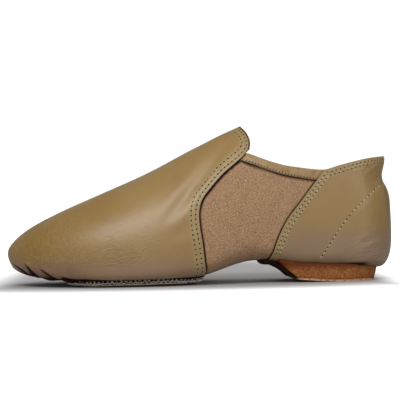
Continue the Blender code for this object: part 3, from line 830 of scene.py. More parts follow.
# %% Heel sizes and outline
TOP_PIECE = 1.5
BREAST_COVER = 1.2
HEEL_SEAT_LENGTH = 68.5
HEEL_EDGE_SHARE = 0.84
HEEL_REAR_INSET = 9.8
HEEL_TAPER = 1.6
BREAST_SLOPE = 1.35
BREAST_SKEW = 1.8
HEEL_FRONT_RISE = 2.1
HEEL_RISE_POWER = 1.3
HEEL_FLAT_LENGTH = 27.0
HEEL_ROUND_LENGTH = 24.0
HEEL_ROUND_POWER = 0.8
TONGUE_LENGTH = 10.0
TONGUE_BEND = 3.5
HEEL_REAR = 0.5 * LENGTH - HEEL_REAR_INSET
HEEL_FRONT = HEEL_REAR - HEEL_SEAT_LENGTH
BREAST_LEAN = math.hypot(1.0, BREAST_SLOPE)


def heel_floor(x):
    flat_from = HEEL_REAR - HEEL_FLAT_LENGTH
    front = HEEL_FRONT + BREAST_SLOPE * HEEL_LIFT
    return HEEL_FRONT_RISE * np.clip((flat_from - x) / (flat_from - front), 0.0, None) ** HEEL_RISE_POWER


def heel_half(x, inset):
    size = section_at(station_of(x))
    half = 0.5 * (size["medial"] - size["lateral"])
    return 0.5 * (size["lateral"] + size["medial"]), HEEL_EDGE_SHARE * half - inset


def heel_outline(share, across, inset, drop, behind):
    """x and y on a level of the heel, from the breast at 0 to the back at 1."""
    front = HEEL_FRONT + BREAST_SLOPE * drop + behind
    centre = HEEL_REAR - inset - HEEL_ROUND_LENGTH
    straight = np.clip(share / 0.5, 0.0, 1.0)
    turn = np.radians(89.0 * np.clip((share - 0.5) / 0.5, 0.0, 1.0))
    x = np.where(share < 0.5, front + (centre - front) * straight, centre + HEEL_ROUND_LENGTH * np.sin(turn))
    middle, half = heel_half(x, inset)
    ending = heel_half(centre, inset)[1] * np.cos(turn) ** HEEL_ROUND_POWER
    half = np.where(share < 0.5, half, ending)
    return x - across * BREAST_SKEW * (1 - straight), middle + across * half


print("heel from", round(HEEL_FRONT, 1), "to", round(HEEL_REAR, 1))


# %% Heel block and top piece
FRONT_PART = 0.17
INSETS, ROUND_HEEL = 3, 96
BLOCK_BEHIND = 0.6 * BREAST_COVER * BREAST_LEAN


def closed_band(name, levels):
    """A body with levels in its side wall and filled ends: its angles, radii and levels."""
    add = bpy.ops.mesh.primitive_cylinder_add
    made = primitive(name, add, vertices=ROUND_HEEL, radius=1.0, depth=2.0, end_fill_type="NGON")
    choose = bpy.ops.mesh.select_all
    cuts = []
    for level in range(1, levels):
        plane = {"plane_co": (0, 0, -1.0 + 2.0 * level / levels), "plane_no": (0, 0, 1)}
        cuts += [(bpy.ops.mesh.bisect, plane), (choose, {"action": "SELECT"})]
    in_edit_mode(made, *cuts, (choose, {"action": "DESELECT"}))
    for face in made.data.polygons:
        face.select = len(face.vertices) > 4
    insets = [(bpy.ops.mesh.inset, {"thickness": 0.12})] * INSETS
    in_edit_mode(made, (bpy.ops.mesh.select_mode, {"type": "FACE"}), *insets, every=False)
    points = points_of(made)
    radius = np.hypot(points[:, 0], points[:, 1])
    return made, np.arctan2(points[:, 1], -points[:, 0]), radius, 0.5 * (points[:, 2] + 1.0)


def heel_body(angle, radius, level, low_drop, high_drop, insets, behind, low_z, high_z):
    """Points of a heel layer, walking round its outline from the middle of its front."""
    turn = np.abs(angle) / math.pi
    across = np.where(turn < FRONT_PART, turn / FRONT_PART, 1.0) * radius * np.sign(angle)
    share = np.clip((turn - FRONT_PART) / (1 - FRONT_PART), 0.0, 1.0)
    drop = high_drop + (low_drop - high_drop) * (1 - level)
    inset = insets[1] + (insets[0] - insets[1]) * (1 - level)
    x, y = heel_outline(share, across, inset, drop, behind)
    centre = 0.55 * HEEL_FRONT + 0.45 * HEEL_REAR + 0.4 * BREAST_SLOPE * drop
    x = centre + (x - centre) * radius
    return np.stack([x, y, low_z(x, y) + (high_z(x, y) - low_z(x, y)) * level], axis=-1)


def make_heel_part(name, levels, edge, rim, *shape):
    made, angle, radius, level = closed_band(name, levels)
    if rim:
        note(made, "rim", smooth_share(level, 0.7, 0.2) * (radius > 0.9))
    moved_to(made, heel_body(angle, radius, level, *shape))
    in_edit_mode(made, (bpy.ops.mesh.normals_make_consistent, {"inside": False}))
    return bevelled(made, edge, 50.0, 45.0)


heel_block = handed(make_heel_part(
    "heel_block_suede", 6, 0.4, False, HEEL_LIFT - TOP_PIECE, 0.0, (HEEL_TAPER, 0.0), BLOCK_BEHIND,
    lambda x, y: heel_floor(x) + TOP_PIECE + 0.1, lambda x, y: underside(x, y) - 0.35,
), "heel_suede", "heel_block")
top_piece = handed(make_heel_part(
    "heel_wear_layer", 3, 0.3, True, HEEL_LIFT, HEEL_LIFT, (HEEL_TAPER, HEEL_TAPER), 0.0,
    lambda x, y: heel_floor(x), lambda x, y: heel_floor(x) + TOP_PIECE,
), "sole_suede", "heel_top_piece")

# %% [markdown]
# ## Tongue and breast cover
# This strip of suede starts thin under the arch, bends, and runs down the heel's sloping front.
# Its middle line is drawn from the side, and the strip follows the arch across its width.

# %% Breast cover
# Each row: how far along, how far below the arch, and shares of thickness and width.
TONGUE = (
    (0.00, -1.60, 0.45, 0.60),
    (0.20, 0.40, 0.75, 0.80),
    (0.50, 1.00, 1.00, 0.95),
    (1.00, 1.00, 1.00, 1.00),
)


def breast_path():
    """Rows of x, z, thickness, share of the width and how far the arch is followed."""
    corner = HEEL_FRONT + 0.5 * BREAST_COVER * BREAST_LEAN
    rows = []
    for along, below, thick, width in TONGUE:
        x = corner - TONGUE_LENGTH + along * (TONGUE_LENGTH - TONGUE_BEND)
        thick = thick * BREAST_COVER
        z = float(underside(x, heel_half(x, 0.0)[0]))
        rows.append((x, z - below * SEAT_GAP - 0.5 * thick, thick, width, 1.0))
    seat = float(underside(corner, heel_half(corner, 0.0)[0])) - SEAT_GAP - 0.5 * BREAST_COVER
    end = float(heel_floor(corner + BREAST_SLOPE * seat)) + 0.5 * TOP_PIECE
    rows.append((corner - 0.1 * TONGUE_BEND, seat - 0.25 * TONGUE_BEND, BREAST_COVER, 1.0, 0.9))
    for share in (0.4, 0.7, 1.0):
        drop = share * (seat - end)
        rows.append((corner + BREAST_SLOPE * drop, seat - drop, BREAST_COVER, 1.0, 1.0 - share))
    return np.array(rows)


def make_breast():
    made, u, v = grid("breast_cover_suede", 36, 24)
    rows = breast_path()
    ends = np.vstack([2 * rows[0] - rows[1], rows, 2 * rows[-1] - rows[-2]])
    last = len(rows) - 1
    at = u * last
    x, z, thick, width, follows = through_rows(ends, at).T
    ahead, back = (through_rows(ends, np.clip(at + off, 0, last)) for off in (0.05, -0.05))
    away = unit((ahead - back)[:, :2])
    middle, half = heel_half(x, HEEL_TAPER + 0.5)
    across = np.sin(0.5 * math.pi * v)
    y = middle + half * width * across
    z = z + follows * (underside(x, y) - underside(x, middle))
    x = x - BREAST_SKEW * across * np.clip(at / 3.0, 0.0, 1.0)
    outwards = np.stack([away[:, 1], np.zeros_like(y), -away[:, 0]], axis=-1)
    laid(made, np.stack([x, y, z], axis=-1) + 0.5 * thick[:, None] * outwards, outwards)
    return thickened(made, BREAST_COVER - 0.1)


breast_cover = handed(make_breast(), "heel_suede", "heel_breast_cover")

# %% [markdown]
# ## Stitches
# A lockstitch shows as short lengths of thread that dip into needle holes. One stitch is
# modelled once as a small plump thread, one hole as a flat dark bead, and both are copied along
# each row at the machine's pitch. The thread sinks a little at both ends.

# %% One stitch, one hole, and rows of them
def shape_of(made):
    """A body's points and faces. The body itself goes."""
    shape = points_of(made), [tuple(face.vertices) for face in made.data.polygons]
    bpy.data.objects.remove(made)
    return shape


BEAD = bpy.ops.mesh.primitive_uv_sphere_add
THREAD = shape_of(primitive("one_thread", BEAD, segments=6, ring_count=7, radius=1.0))
HOLE = shape_of(primitive("one_hole", BEAD, segments=8, ring_count=4, radius=1.0))


def copies(name, shape, places):
    """One mesh of many copies: each place is a middle, three axes and their half lengths."""
    points, faces = shape
    middles = np.array([place[0] for place in places])
    axes = np.array([place[1:4] for place in places])
    sizes = np.array([place[4] for place in places])
    everything = (np.einsum("pk,nk,nkc->npc", points, sizes, axes) + middles[:, None, :]) * MM
    all_faces = [tuple(v + len(points) * n for v in face) for n in range(len(places)) for face in faces]
    mesh = bpy.data.meshes.new(name)
    mesh.from_pydata(everything.reshape(-1, 3).tolist(), [], all_faces)
    made = bpy.data.objects.new(name, mesh)
    bpy.context.scene.collection.objects.link(made)
    only(made)
    bpy.ops.object.shade_smooth()
    return made


def paced(points, normals, pitch):
    """Evenly spaced places along a row of points, with the normal there."""
    reach = np.concatenate([[0.0], np.cumsum(np.linalg.norm(np.diff(points, axis=0), axis=1))])
    marks = np.linspace(0.0, reach[-1], max(2, int(round(reach[-1] / pitch))) + 1)
    at, up = (
        np.stack([np.interp(marks, reach, column) for column in rows.T], axis=-1)
        for rows in (points, normals)
    )
    return at, unit(up)


STITCHES = {"pale": [], "dull": [], "hole": []}


def sew(row, pitch, thread, width, hole, proud=0.05):
    """Puts threads between paced places, and a hole at each place."""
    at, up = paced(*row, pitch)
    for here, there, normal in zip(at[:-1], at[1:], up[:-1]):
        length = np.linalg.norm(there - here)
        way = (there - here) / length
        axes = (way, unit(np.cross(normal, way)), normal)
        middle = 0.5 * (here + there) + proud * normal
        STITCHES[thread].append((middle, *axes, (0.5 * length - 0.45 * hole, width, 0.30)))
        STITCHES["hole"].append((here + 0.02 * normal, *axes, (hole, hole, 0.10)))
    return len(at) - 1


# %% [markdown]
# ## Where the rows run
# Two rows along the vamp's edge, over the tab and down the other side. Two along the quarter's
# front edge that go on below its topline round the back. One on each binding, and one that
# holds the counter.

# %% Rows of stitches
VAMP_LOW, QUARTER_LOW, COUNTER_LOW, COUNTER_TOP = 0.50, 0.60, 0.55, 1.86
BINDING_ROW_AT, BINDING_ROW_DEPTH, BINDING_REACH = 0.17, 0.22, (104.5, 128.6)
# Each stitch: pitch, thread, half its width, its hole and how far it stands out, in mm.
VAMP_STITCH = (3.1, "dull", 0.28, 0.60)
QUARTER_STITCH = (2.9, "pale", 0.36, 0.56, 0.08)
TOPLINE_STITCH = (2.9, "dull", 0.34, 0.50, 0.07)
COUNTER_STITCH = (3.1, "pale", 0.34, 0.68, 0.16)
BINDING_STITCH = (2.0, "dull", 0.26, 0.40)


def with_relief(station, around, relief):
    points, normals = on_skin(station, around)
    return points + normals * relief(points)[:, None], normals


def upright_row(line, stations, low, high, relief, steps=900):
    """Points and normals along an upright line, between two ways round the section."""
    around = np.linspace(low, high, steps)
    found = np.interp(np.abs(around), AROUND, stations_on(line, *stations))
    return with_relief(found, around, relief)


def quarter_row(distance):
    """The line of a row in the quarter, where it leaves the front edge, and its topline part."""
    line = beside(QUARTER_LINE, -distance)
    stations = stations_on(line, *QUARTER_REACH)
    top = around_on(COLLAR_LINE - (0.0, distance))
    end = float(AROUND[np.argmax(AROUND - np.interp(stations, STATIONS, top) > 0.0)])
    station = np.linspace(np.interp(1.45, AROUND, stations), 178.0, 500)
    around = np.interp(station, STATIONS, top)
    station, around = station[around < 1.999], around[around < 1.999]
    station, around = np.concatenate([station, station[::-1]]), np.concatenate([around, -around[::-1]])
    return line, end, with_relief(station, around, quarter_relief)


def binding_row(side):
    station = np.linspace(*BINDING_REACH, 440)
    low, high = (np.interp(station, STATIONS, edge) for edge in (BINDING_EDGE, COLLAR_EDGE))
    points, normals = on_skin(station, side * (low + BINDING_ROW_AT * (high - low)), BINDING_ROW_DEPTH)
    x, z = points[:, 0], points[:, 2]
    keep = (x > x_at(VAMP_LINE, z) + 1.0) & (x < x_at(QUARTER_LINE, z) - 1.0)
    return points[keep], normals[keep]


total = 0
for distance in VAMP_ROWS:
    line = beside(DENSE_VAMP, distance)
    for low, high in ((VAMP_LOW, 2.0), (-2.0, -VAMP_LOW)):
        total += sew(upright_row(line, VAMP_REACH, low, high, vamp_relief), *VAMP_STITCH)
for distance in QUARTER_ROWS:
    line, end, over_back = quarter_row(distance)
    for low, high in ((QUARTER_LOW, end), (-end, -QUARTER_LOW)):
        total += sew(upright_row(line, QUARTER_REACH, low, high, quarter_relief), *QUARTER_STITCH)
    total += sew(over_back, *TOPLINE_STITCH)
for side in (1.0, -1.0):
    ends = side * COUNTER_TOP, side * COUNTER_LOW
    row = upright_row(COUNTER_LINE, COUNTER_REACH, *ends, quarter_relief, 600)
    total += sew(row, *COUNTER_STITCH)
    total += sew(binding_row(side), *BINDING_STITCH)
print("stitches in all:", total)
thread_pale = handed(copies("thread_quarter", THREAD, STITCHES["pale"]), "leather")
thread_dull = handed(copies("thread_vamp", THREAD, STITCHES["dull"]), "leather")
needle_holes = handed(copies("needle_holes", HOLE, STITCHES["hole"]), "leather")

# %% [markdown]
# ## Suede fibres
# The cut edge of the sole shows as a pale fringe. Over a thousand small tufts, each a cone with
# four sides, stand out of it at slightly different angles, and they rise and fall in soft teeth.

# %% Fringe of the suede
TUFTS_A_SIDE = 640
TOOTH_PITCH = 2.9
CONE = bpy.ops.mesh.primitive_cone_add
TUFT = shape_of(primitive("one_tuft", CONE, vertices=4, radius1=1.0, radius2=0.15, depth=2.0))
random.seed(7)


def make_fringe():
    places = []
    for side in (-1.0, 1.0):
        x, middle, half = sole_half(np.cos(math.pi * np.linspace(0.02, 0.98, TUFTS_A_SIDE)))
        y = middle + side * half
        ground = sole_floor(x, y)
        run = unit(np.gradient(np.stack([x, y], axis=-1), axis=0))
        away = np.stack([run[:, 1], -run[:, 0]], axis=-1) * -side
        travelled = np.concatenate(([0.0], np.cumsum(np.hypot(np.diff(x), np.diff(y)))))
        tooth = 0.5 + 0.5 * np.cos(2.0 * math.pi * travelled / TOOTH_PITCH)
        for k in range(TUFTS_A_SIDE):
            out = Vector((away[k, 0], away[k, 1], random.uniform(-0.15, 0.55))).normalized()
            turned = Vector((run[k, 0], run[k, 1], random.uniform(-0.5, 0.5)))
            sideways = (turned - out * turned.dot(out)).normalized()
            height = ground[k] + (0.30 + random.uniform(0.1, 1.15) * tooth[k]) * SUEDE_SOLE
            reach = random.uniform(0.5, 1.1)
            sizes = (random.uniform(0.16, 0.34), random.uniform(0.14, 0.28), reach)
            axes = [np.array(way) for way in (sideways, out.cross(sideways), out)]
            places.append((np.array([x[k], y[k], height]) + axes[2] * 0.5 * reach, *axes, sizes))
    return copies("suede_fringe", TUFT, places)


fringe = handed(make_fringe(), "sole_suede")
print("tufts:", 2 * TUFTS_A_SIDE)

# %% [markdown]
# ## Effects that several finishes share
# Grain, soft unevenness of colour, and painted shade in seams and folds appear on more than one
# material, so each is a node group with named inputs, built once and given its own values in each finish.

# %% Small helpers for nodes
def fill(tree, socket, value):
    """Links a socket or sets it. A colour is given as three values."""
    if isinstance(value, bpy.types.NodeSocket):
        tree.links.new(value, socket)
    else:
        socket.default_value = (*value, 1.0) if socket.type == "RGBA" else value


def put(tree, kind, settings=None, **values):
    """Adds a node, sets its options, and fills its inputs by name or, as n0, by number."""
    node = tree.nodes.new("ShaderNode" + kind)
    for key, value in (settings or {}).items():
        setattr(node, key, value)
    for key, value in values.items():
        fill(tree, node.inputs[int(key[1:]) if key[1:].isdigit() else key.replace("_", " ")], value)
    return node


def use(tree, group, **values):
    return put(tree, "Group", {"node_tree": group}, **values).outputs[0]


def sums(tree, operation, first, second=0.0, third=0.0):
    return put(tree, "Math", {"operation": operation}, n0=first, n1=second, n2=third).outputs[0]


def times(tree, first, second):
    return sums(tree, "MULTIPLY", first, second)


def most(tree, first, second):
    return sums(tree, "MAXIMUM", first, second)


def blend(tree, share, first, second):
    return put(tree, "Mix", {"data_type": "FLOAT"}, n0=share, n2=first, n3=second).outputs[0]


def blend_colour(tree, share, first, second):
    return put(tree, "Mix", {"data_type": "RGBA"}, n0=share, n6=first, n7=second).outputs[2]


def ramp(tree, value, low, high, to_low=0.0, to_high=1.0):
    way = {"interpolation_type": "SMOOTHSTEP"}
    return put(tree, "MapRange", way, n0=value, n1=low, n2=high, n3=to_low, n4=to_high).outputs[0]


def noise(tree, place, scale, detail, roughness=0.5, distortion=0.0):
    settings = {"Scale": scale, "Detail": detail, "Roughness": roughness, "Distortion": distortion}
    return put(tree, "TexNoise", Vector=place, **settings).outputs[0]


def axes_of(tree, place):
    return put(tree, "SeparateXYZ", n0=place).outputs


def kept(tree, name):
    return put(tree, "Attribute", {"attribute_name": name}).outputs["Fac"]


def new_group(name, output, **inputs):
    """A node group, its inputs' sockets and its output's. Each input is a kind and a value."""
    group = bpy.data.node_groups.new(name, "ShaderNodeTree")
    for label, (kind, value) in inputs.items():
        socket = group.interface.new_socket(name=label, in_out="INPUT", socket_type="NodeSocket" + kind)
        if value is not None:
            socket.default_value = (*value, 1.0) if kind == "Color" else value
    group.interface.new_socket(name=output[0], in_out="OUTPUT", socket_type="NodeSocket" + output[1])
    given, made = group.nodes.new("NodeGroupInput").outputs, group.nodes.new("NodeGroupOutput").inputs
    return group, given, made[output[0]]


# %% Groups for grain, uneven colour, wrinkles and painted shade
PLACE = ("Vector", None)


def make_grain():
    """Fine pebbles of a leather or cloth surface, as a height."""
    group, given, made = new_group(
        "grain", ("Height", "Float"), Place=PLACE, Fineness=("Float", 900.0), Softness=("Float", 0.5)
    )
    cells = put(group, "TexVoronoi", {"feature": "F1"}, Vector=given["Place"], Scale=given["Fineness"])
    speck = noise(group, given["Place"], times(group, given["Fineness"], 2.3), 3.0, 0.6)
    fill(group, made, blend(group, given["Softness"], cells.outputs["Distance"], speck))
    return group


def make_mottle():
    """Lets a colour drift between two others, in patches of a given size."""
    group, given, made = new_group(
        "uneven colour", ("Colour", "Color"), Place=PLACE, Colour=("Color", (0.5, 0.5, 0.5)),
        Darker=("Color", (0.4, 0.4, 0.4)), Lighter=("Color", (0.6, 0.6, 0.6)),
        Patches=("Float", 60.0), Amount=("Float", 0.5),
    )
    cloud, colour = noise(group, given["Place"], given["Patches"], 3.0, 0.55), given["Colour"]
    for end, other in ((0.32, "Darker"), (0.68, "Lighter")):
        share = times(group, ramp(group, cloud, 0.50, end), given["Amount"])
        colour = blend_colour(group, share, colour, given[other])
    fill(group, made, colour)
    return group


def make_wrinkles():
    """Fine lines in stretched leather, along one direction seen from the side."""
    group, given, made = new_group(
        "wrinkles", ("Height", "Float"), Place=PLACE, Turn=("Vector", (0.0, 0.0, 0.0)),
        Size=("Vector", (0.01, 0.01, 0.002)),
    )
    turned = put(
        group, "Mapping", {"vector_type": "TEXTURE"}, Vector=given["Place"], Rotation=given["Turn"],
        Scale=given["Size"],
    )
    cloud = noise(group, turned.outputs[0], 1.0, 1.0, 0.4, 0.35)
    fill(group, made, ramp(group, cloud, 0.20, 0.80))
    return group


def make_painted_shade():
    """Paints shade: darkens a colour by a kept value that marks where shade falls in folds and seams."""
    group, given, made = new_group(
        "painted shade", ("Colour", "Color"), Colour=("Color", (0.5, 0.5, 0.5)),
        Dark=("Color", (0.03, 0.012, 0.008)), Where=("Float", 0.0), Amount=("Float", 1.0),
    )
    share = times(group, given["Where"], given["Amount"])
    fill(group, made, blend_colour(group, share, given["Colour"], given["Dark"]))
    return group


GRAIN, MOTTLE, WRINKLES, PAINTED_SHADE_GROUP = make_grain(), make_mottle(), make_wrinkles(), make_painted_shade()
print("node groups:", [group.name for group in bpy.data.node_groups])


# %% Starting and ending a material
def start_material(name, roughness, **sockets):
    made = bpy.data.materials.new(name)
    made.use_nodes = True
    tree = made.node_tree
    shader = tree.nodes["Principled BSDF"].inputs
    for key, value in {"Roughness": roughness, **sockets}.items():
        shader[key.replace("_", " ")].default_value = value
    return made, tree, shader, tree.nodes.new("ShaderNodeTexCoord").outputs["Object"]


def mottled(tree, place, colours, patches, amount):
    """Base, darker and lighter colours in patches."""
    base, darker, lighter = colours
    return use(
        tree, MOTTLE, Place=place, Colour=base, Darker=darker, Lighter=lighter, Patches=patches, Amount=amount
    )


def finished(tree, shader, colour, *heights):
    """Joins the colour and a chain of bumps, each a height and its depth in millimetres."""
    tree.links.new(colour, shader["Base Color"])
    last = None
    for height, depth in heights:
        node = put(tree, "Bump", Height=height, Distance=depth * MM, Strength=1.0)
        if last is not None:
            tree.links.new(last, node.inputs["Normal"])
        last = node.outputs[0]
    tree.links.new(last, shader["Normal"])


def dress(finish, *pieces):
    for piece in pieces:
        piece.data.materials.append(finish)


# %% [markdown]
# ## Leather
# The leather is smooth and glossy, olive tan, warmer and darker at the toe, partly as painted
# shade, and greyer and pinker towards the floor as a painted reflection of the white floor. Its shine
# is broad: a full but rough coat carries it, and it goes off inside the folds and wherever painted
# shade darkens the leather. Fine wrinkles run up the side of the forefoot, steeper near the toe.

# %% Leather finishes
BASE, WARM_AND_SHADED, FLOOR_REFLECTION_TONE = (0.296, 0.174, 0.044), (0.246, 0.134, 0.014), (0.250, 0.159, 0.104)
DARKER, LIGHTER = (0.235, 0.130, 0.030), (0.330, 0.212, 0.078)
UNDER_TOE_SHADE, HEM_TONE, PAINTED_SHADE_DARK = (0.150, 0.062, 0.046), (0.325, 0.228, 0.092), (0.022, 0.004, 0.003)
SLANT, STEEP = math.radians(-24.0), math.radians(-58.0)


def leather_colour(tree, x, z):
    """Base colour, warmer and darker at the toe as partly painted shade, painted shade under the toe, and a
    painted reflection of the floor low down.
    """
    # Painted reflection of the white floor: greyer and pinker low down and low at the heel, less at the toe.
    at_heel = times(tree, ramp(tree, x, 0.030, 0.065), ramp(tree, z, 0.044, 0.020))
    low = most(tree, ramp(tree, z, 0.026, 0.006), at_heel)
    # Warmer and darker at the toe, partly as painted shade.
    toe = ramp(tree, x, -0.070, -0.108)
    high = times(tree, ramp(tree, x, -0.020, -0.070), ramp(tree, z, 0.030, 0.046))
    warmth_and_toe_shade = most(tree, times(tree, toe, 0.95), times(tree, high, 0.5))
    low = times(tree, low, sums(tree, "SUBTRACT", 1.0, times(tree, toe, 0.8)))
    colour = blend_colour(tree, warmth_and_toe_shade, BASE, WARM_AND_SHADED)
    colour = blend_colour(tree, times(tree, low, 0.8), colour, FLOOR_REFLECTION_TONE)
    # Painted shade on the leather under the toe.
    under = times(tree, ramp(tree, x, -0.058, -0.090), ramp(tree, z, 0.0190, 0.0110))
    return blend_colour(tree, times(tree, under, 0.8), colour, UNDER_TOE_SHADE)


def leather_lines(tree, place, x, z):
    """Wrinkles on the side of the forefoot, and fainter ones at the heel."""
    side = times(tree, ramp(tree, x, -0.015, -0.045), ramp(tree, z, 0.056, 0.040))
    side = times(tree, side, ramp(tree, z, 0.009, 0.018))
    slant = use(tree, WRINKLES, Place=place, Turn=(0.0, SLANT, 0.0), Size=(0.0034, 0.0034, 0.0011))
    steep = use(tree, WRINKLES, Place=place, Turn=(0.0, STEEP, 0.0), Size=(0.0030, 0.0030, 0.0011))
    ends = most(tree, ramp(tree, z, 0.058, 0.066), ramp(tree, z, 0.040, 0.030))
    at_heel = times(tree, ramp(tree, x, 0.088, 0.104), times(tree, ends, 0.5))
    lines = blend(tree, ramp(tree, x, -0.055, -0.080), slant, steep)
    return times(tree, lines, most(tree, side, at_heel))


def make_leather():
    made, tree, shader, place = start_material(
        "smooth tan leather", 0.5, Coat_Roughness=0.42, Coat_IOR=1.62, Specular_IOR_Level=0.12
    )
    axes, painted_shade, at_hem = axes_of(tree, place), kept(tree, "painted_shade"), kept(tree, "hem")
    x, z = axes["X"], axes["Z"]
    colour = mottled(tree, place, (leather_colour(tree, x, z), DARKER, LIGHTER), 45.0, 0.30)
    colour = blend_colour(tree, times(tree, at_hem, 0.6), colour, HEM_TONE)
    # Painted shade: pleat valleys, under the toe, the cut edge, the sole seam and above the heel go nearly
    # black.
    colour = use(tree, PAINTED_SHADE_GROUP, Colour=colour, Dark=PAINTED_SHADE_DARK, Where=painted_shade, Amount=0.98)
    grain = use(tree, GRAIN, Place=place, Fineness=1500.0, Softness=0.5)
    soft, pebble = noise(tree, place, 90.0, 3.0), noise(tree, place, 420.0, 2.0)
    pucker = times(tree, noise(tree, place, 650.0, 2.0), at_hem)
    lines = leather_lines(tree, place, x, z)
    heights = ((soft, 0.32), (lines, 0.48), (pucker, 0.28), (pebble, 0.11), (grain, 0.05))
    finished(tree, shader, colour, *heights)
    rough = ramp(tree, soft, 0.3, 0.7, 0.45, 0.55)
    tree.links.new(blend(tree, painted_shade, rough, 0.95), shader["Roughness"])
    tree.links.new(ramp(tree, painted_shade, 0.0, 1.0, 1.0, 0.0), shader["Coat Weight"])
    return made


def make_binding_leather():
    made, tree, shader, place = start_material(
        "binding leather", 0.5, Coat_Weight=0.5, Coat_Roughness=0.42, Specular_IOR_Level=0.15
    )
    colours = ((0.330, 0.210, 0.095), (0.225, 0.115, 0.038), (0.40, 0.27, 0.135))
    colour = mottled(tree, place, colours, 260.0, 0.6)
    colour = use(tree, PAINTED_SHADE_GROUP, Colour=colour, Where=kept(tree, "painted_shade"), Amount=0.9)
    grain = use(tree, GRAIN, Place=place, Fineness=1500.0, Softness=0.5)
    finished(tree, shader, colour, (noise(tree, place, 160.0, 3.0), 0.25), (grain, 0.02))
    return made


dress(make_leather(), vamp, quarter)
dress(make_binding_leather(), binding_lateral, binding_medial)

# %% [markdown]
# ## Cloth, suede and thread
# The stretch panel is matt with a fine two-coloured mottle, as brushed stretch fabric has, with
# painted shade along its seams. The suedes are rougher, with darker and lighter strokes where the
# nap lies differently, and pale where they are cut. The heel's upper part and the cover in front of
# the heel are darkened with painted shade.

# %% Cloth, suede and thread finishes
def make_cloth(name, colours, speck, fineness, bump):
    made, tree, shader, place = start_material(name, 0.95, Sheen_Weight=0.06, Specular_IOR_Level=0.25)
    colour = mottled(tree, place, colours, fineness, speck)
    colour = mottled(tree, place, (colour, *colours[1:]), fineness * 0.08, 0.12)
    # Painted shade along the panel's seams.
    dark = (0.018, 0.005, 0.003)
    colour = use(tree, PAINTED_SHADE_GROUP, Colour=colour, Dark=dark, Where=kept(tree, "seam"), Amount=1.0)
    grain = use(tree, GRAIN, Place=place, Fineness=fineness * 1.2, Softness=0.7)
    finished(tree, shader, colour, (grain, bump))
    return made


def make_suede(name, colours, rim_colour, fineness, bump, top_shade=None):
    made, tree, shader, place = start_material(name, 0.96, Specular_IOR_Level=0.08)
    colour = mottled(tree, place, colours, fineness, 0.8)
    colour = mottled(tree, place, (colour, *colours[1:]), 110.0, 0.4)
    ragged = ramp(tree, noise(tree, place, 420.0, 3.0), 0.38, 0.52)
    colour = blend_colour(tree, times(tree, kept(tree, "rim"), ragged), colour, rim_colour)
    # Painted shade: the upper part of a suede block darkens by height.
    if top_shade:
        high = ramp(tree, axes_of(tree, place)["Z"], 0.0060, 0.0122, 0.0, 0.85)
        colour = blend_colour(tree, high, colour, top_shade)
    grain = use(tree, GRAIN, Place=place, Fineness=fineness, Softness=0.8)
    finished(tree, shader, colour, (grain, bump))
    return made


def make_thread(name, colours):
    made, tree, shader, place = start_material(name, 0.9, Specular_IOR_Level=0.15)
    colour = mottled(tree, place, colours, 500.0, 0.7)
    finished(tree, shader, colour, (noise(tree, place, 2500.0, 2.0), 0.05))
    return made


STRETCH = ((0.360, 0.214, 0.118), (0.215, 0.112, 0.054), (0.47, 0.31, 0.185))
LINING = ((0.42, 0.29, 0.18), (0.33, 0.21, 0.12), (0.50, 0.36, 0.24))
SOCK = ((0.40, 0.27, 0.165), (0.30, 0.19, 0.11), (0.48, 0.34, 0.22))
SOLE = ((0.30, 0.21, 0.15), (0.16, 0.10, 0.07), (0.42, 0.32, 0.24))
HEEL = ((0.300, 0.108, 0.034), (0.150, 0.042, 0.012), (0.47, 0.205, 0.080))
WEAR = ((0.34, 0.14, 0.05), (0.20, 0.07, 0.025), (0.50, 0.28, 0.15))
# The breast cover's suede is nearly black as painted shade for the cover in shadow.
BREAST_IN_SHADE = ((0.030, 0.010, 0.007), (0.014, 0.005, 0.004), (0.060, 0.020, 0.012))
FIBRES = ((0.92, 0.83, 0.72), (0.74, 0.62, 0.50), (0.95, 0.92, 0.86))
CREAM = ((0.50, 0.41, 0.23), (0.34, 0.26, 0.13), (0.66, 0.57, 0.36))
TAN = ((0.40, 0.30, 0.15), (0.28, 0.19, 0.09), (0.50, 0.40, 0.22))
HOLE_SHADE = ((0.012, 0.007, 0.004), (0.008, 0.005, 0.003), (0.02, 0.012, 0.007))

dress(make_cloth("stretch fabric", STRETCH, 1.0, 1500.0, 0.10), gusset)
dress(make_cloth("lining cloth", LINING, 0.5, 700.0, 0.06), vamp_lining, quarter_lining)
dress(make_cloth("sock cloth", SOCK, 0.6, 600.0, 0.10), sock)
dress(make_suede("sole suede", SOLE, (0.80, 0.70, 0.60), 900.0, 0.22), suede_sole)
# The heel's top shade colour is painted shade under the quarter.
dress(make_suede("heel suede", HEEL, (0.60, 0.44, 0.34), 1000.0, 0.20, (0.105, 0.022, 0.007)), heel_block)
dress(make_suede("heel wear layer", WEAR, (0.66, 0.48, 0.34), 1000.0, 0.20), top_piece)
dress(make_suede("shaded breast suede", BREAST_IN_SHADE, (0.3, 0.2, 0.15), 900.0, 0.18), breast_cover)
dress(make_suede("suede fibres", FIBRES, (0.8, 0.7, 0.6), 1200.0, 0.05), fringe)
dress(make_thread("cream thread", CREAM), thread_pale)
dress(make_thread("tan thread", TAN), thread_dull)
dress(make_thread("needle hole shade", HOLE_SHADE), needle_holes)
print("materials:", len(bpy.data.materials))

# %% [markdown]
# ## Floor, light and camera
# The photograph is a plain product picture: a white floor that runs into a white background,
# large soft lights above, in front and behind, and a camera low at the side. A glow that only
# the camera sees fades the floor to white round the shoe and its shadow. The camera is rolled
# by a little over a degree, as the photograph is.

# %% Floor
GLOW_IN_FRONT, GLOW_BEHIND, GLOW_ALONG = -22.0, 4.6, 8.8
GLOW_STARTS, GLOW_ENDS = 1.0, 2.5
PAST_TOE, PAST_HEEL = (-0.118, -0.160), (0.108, 0.134)


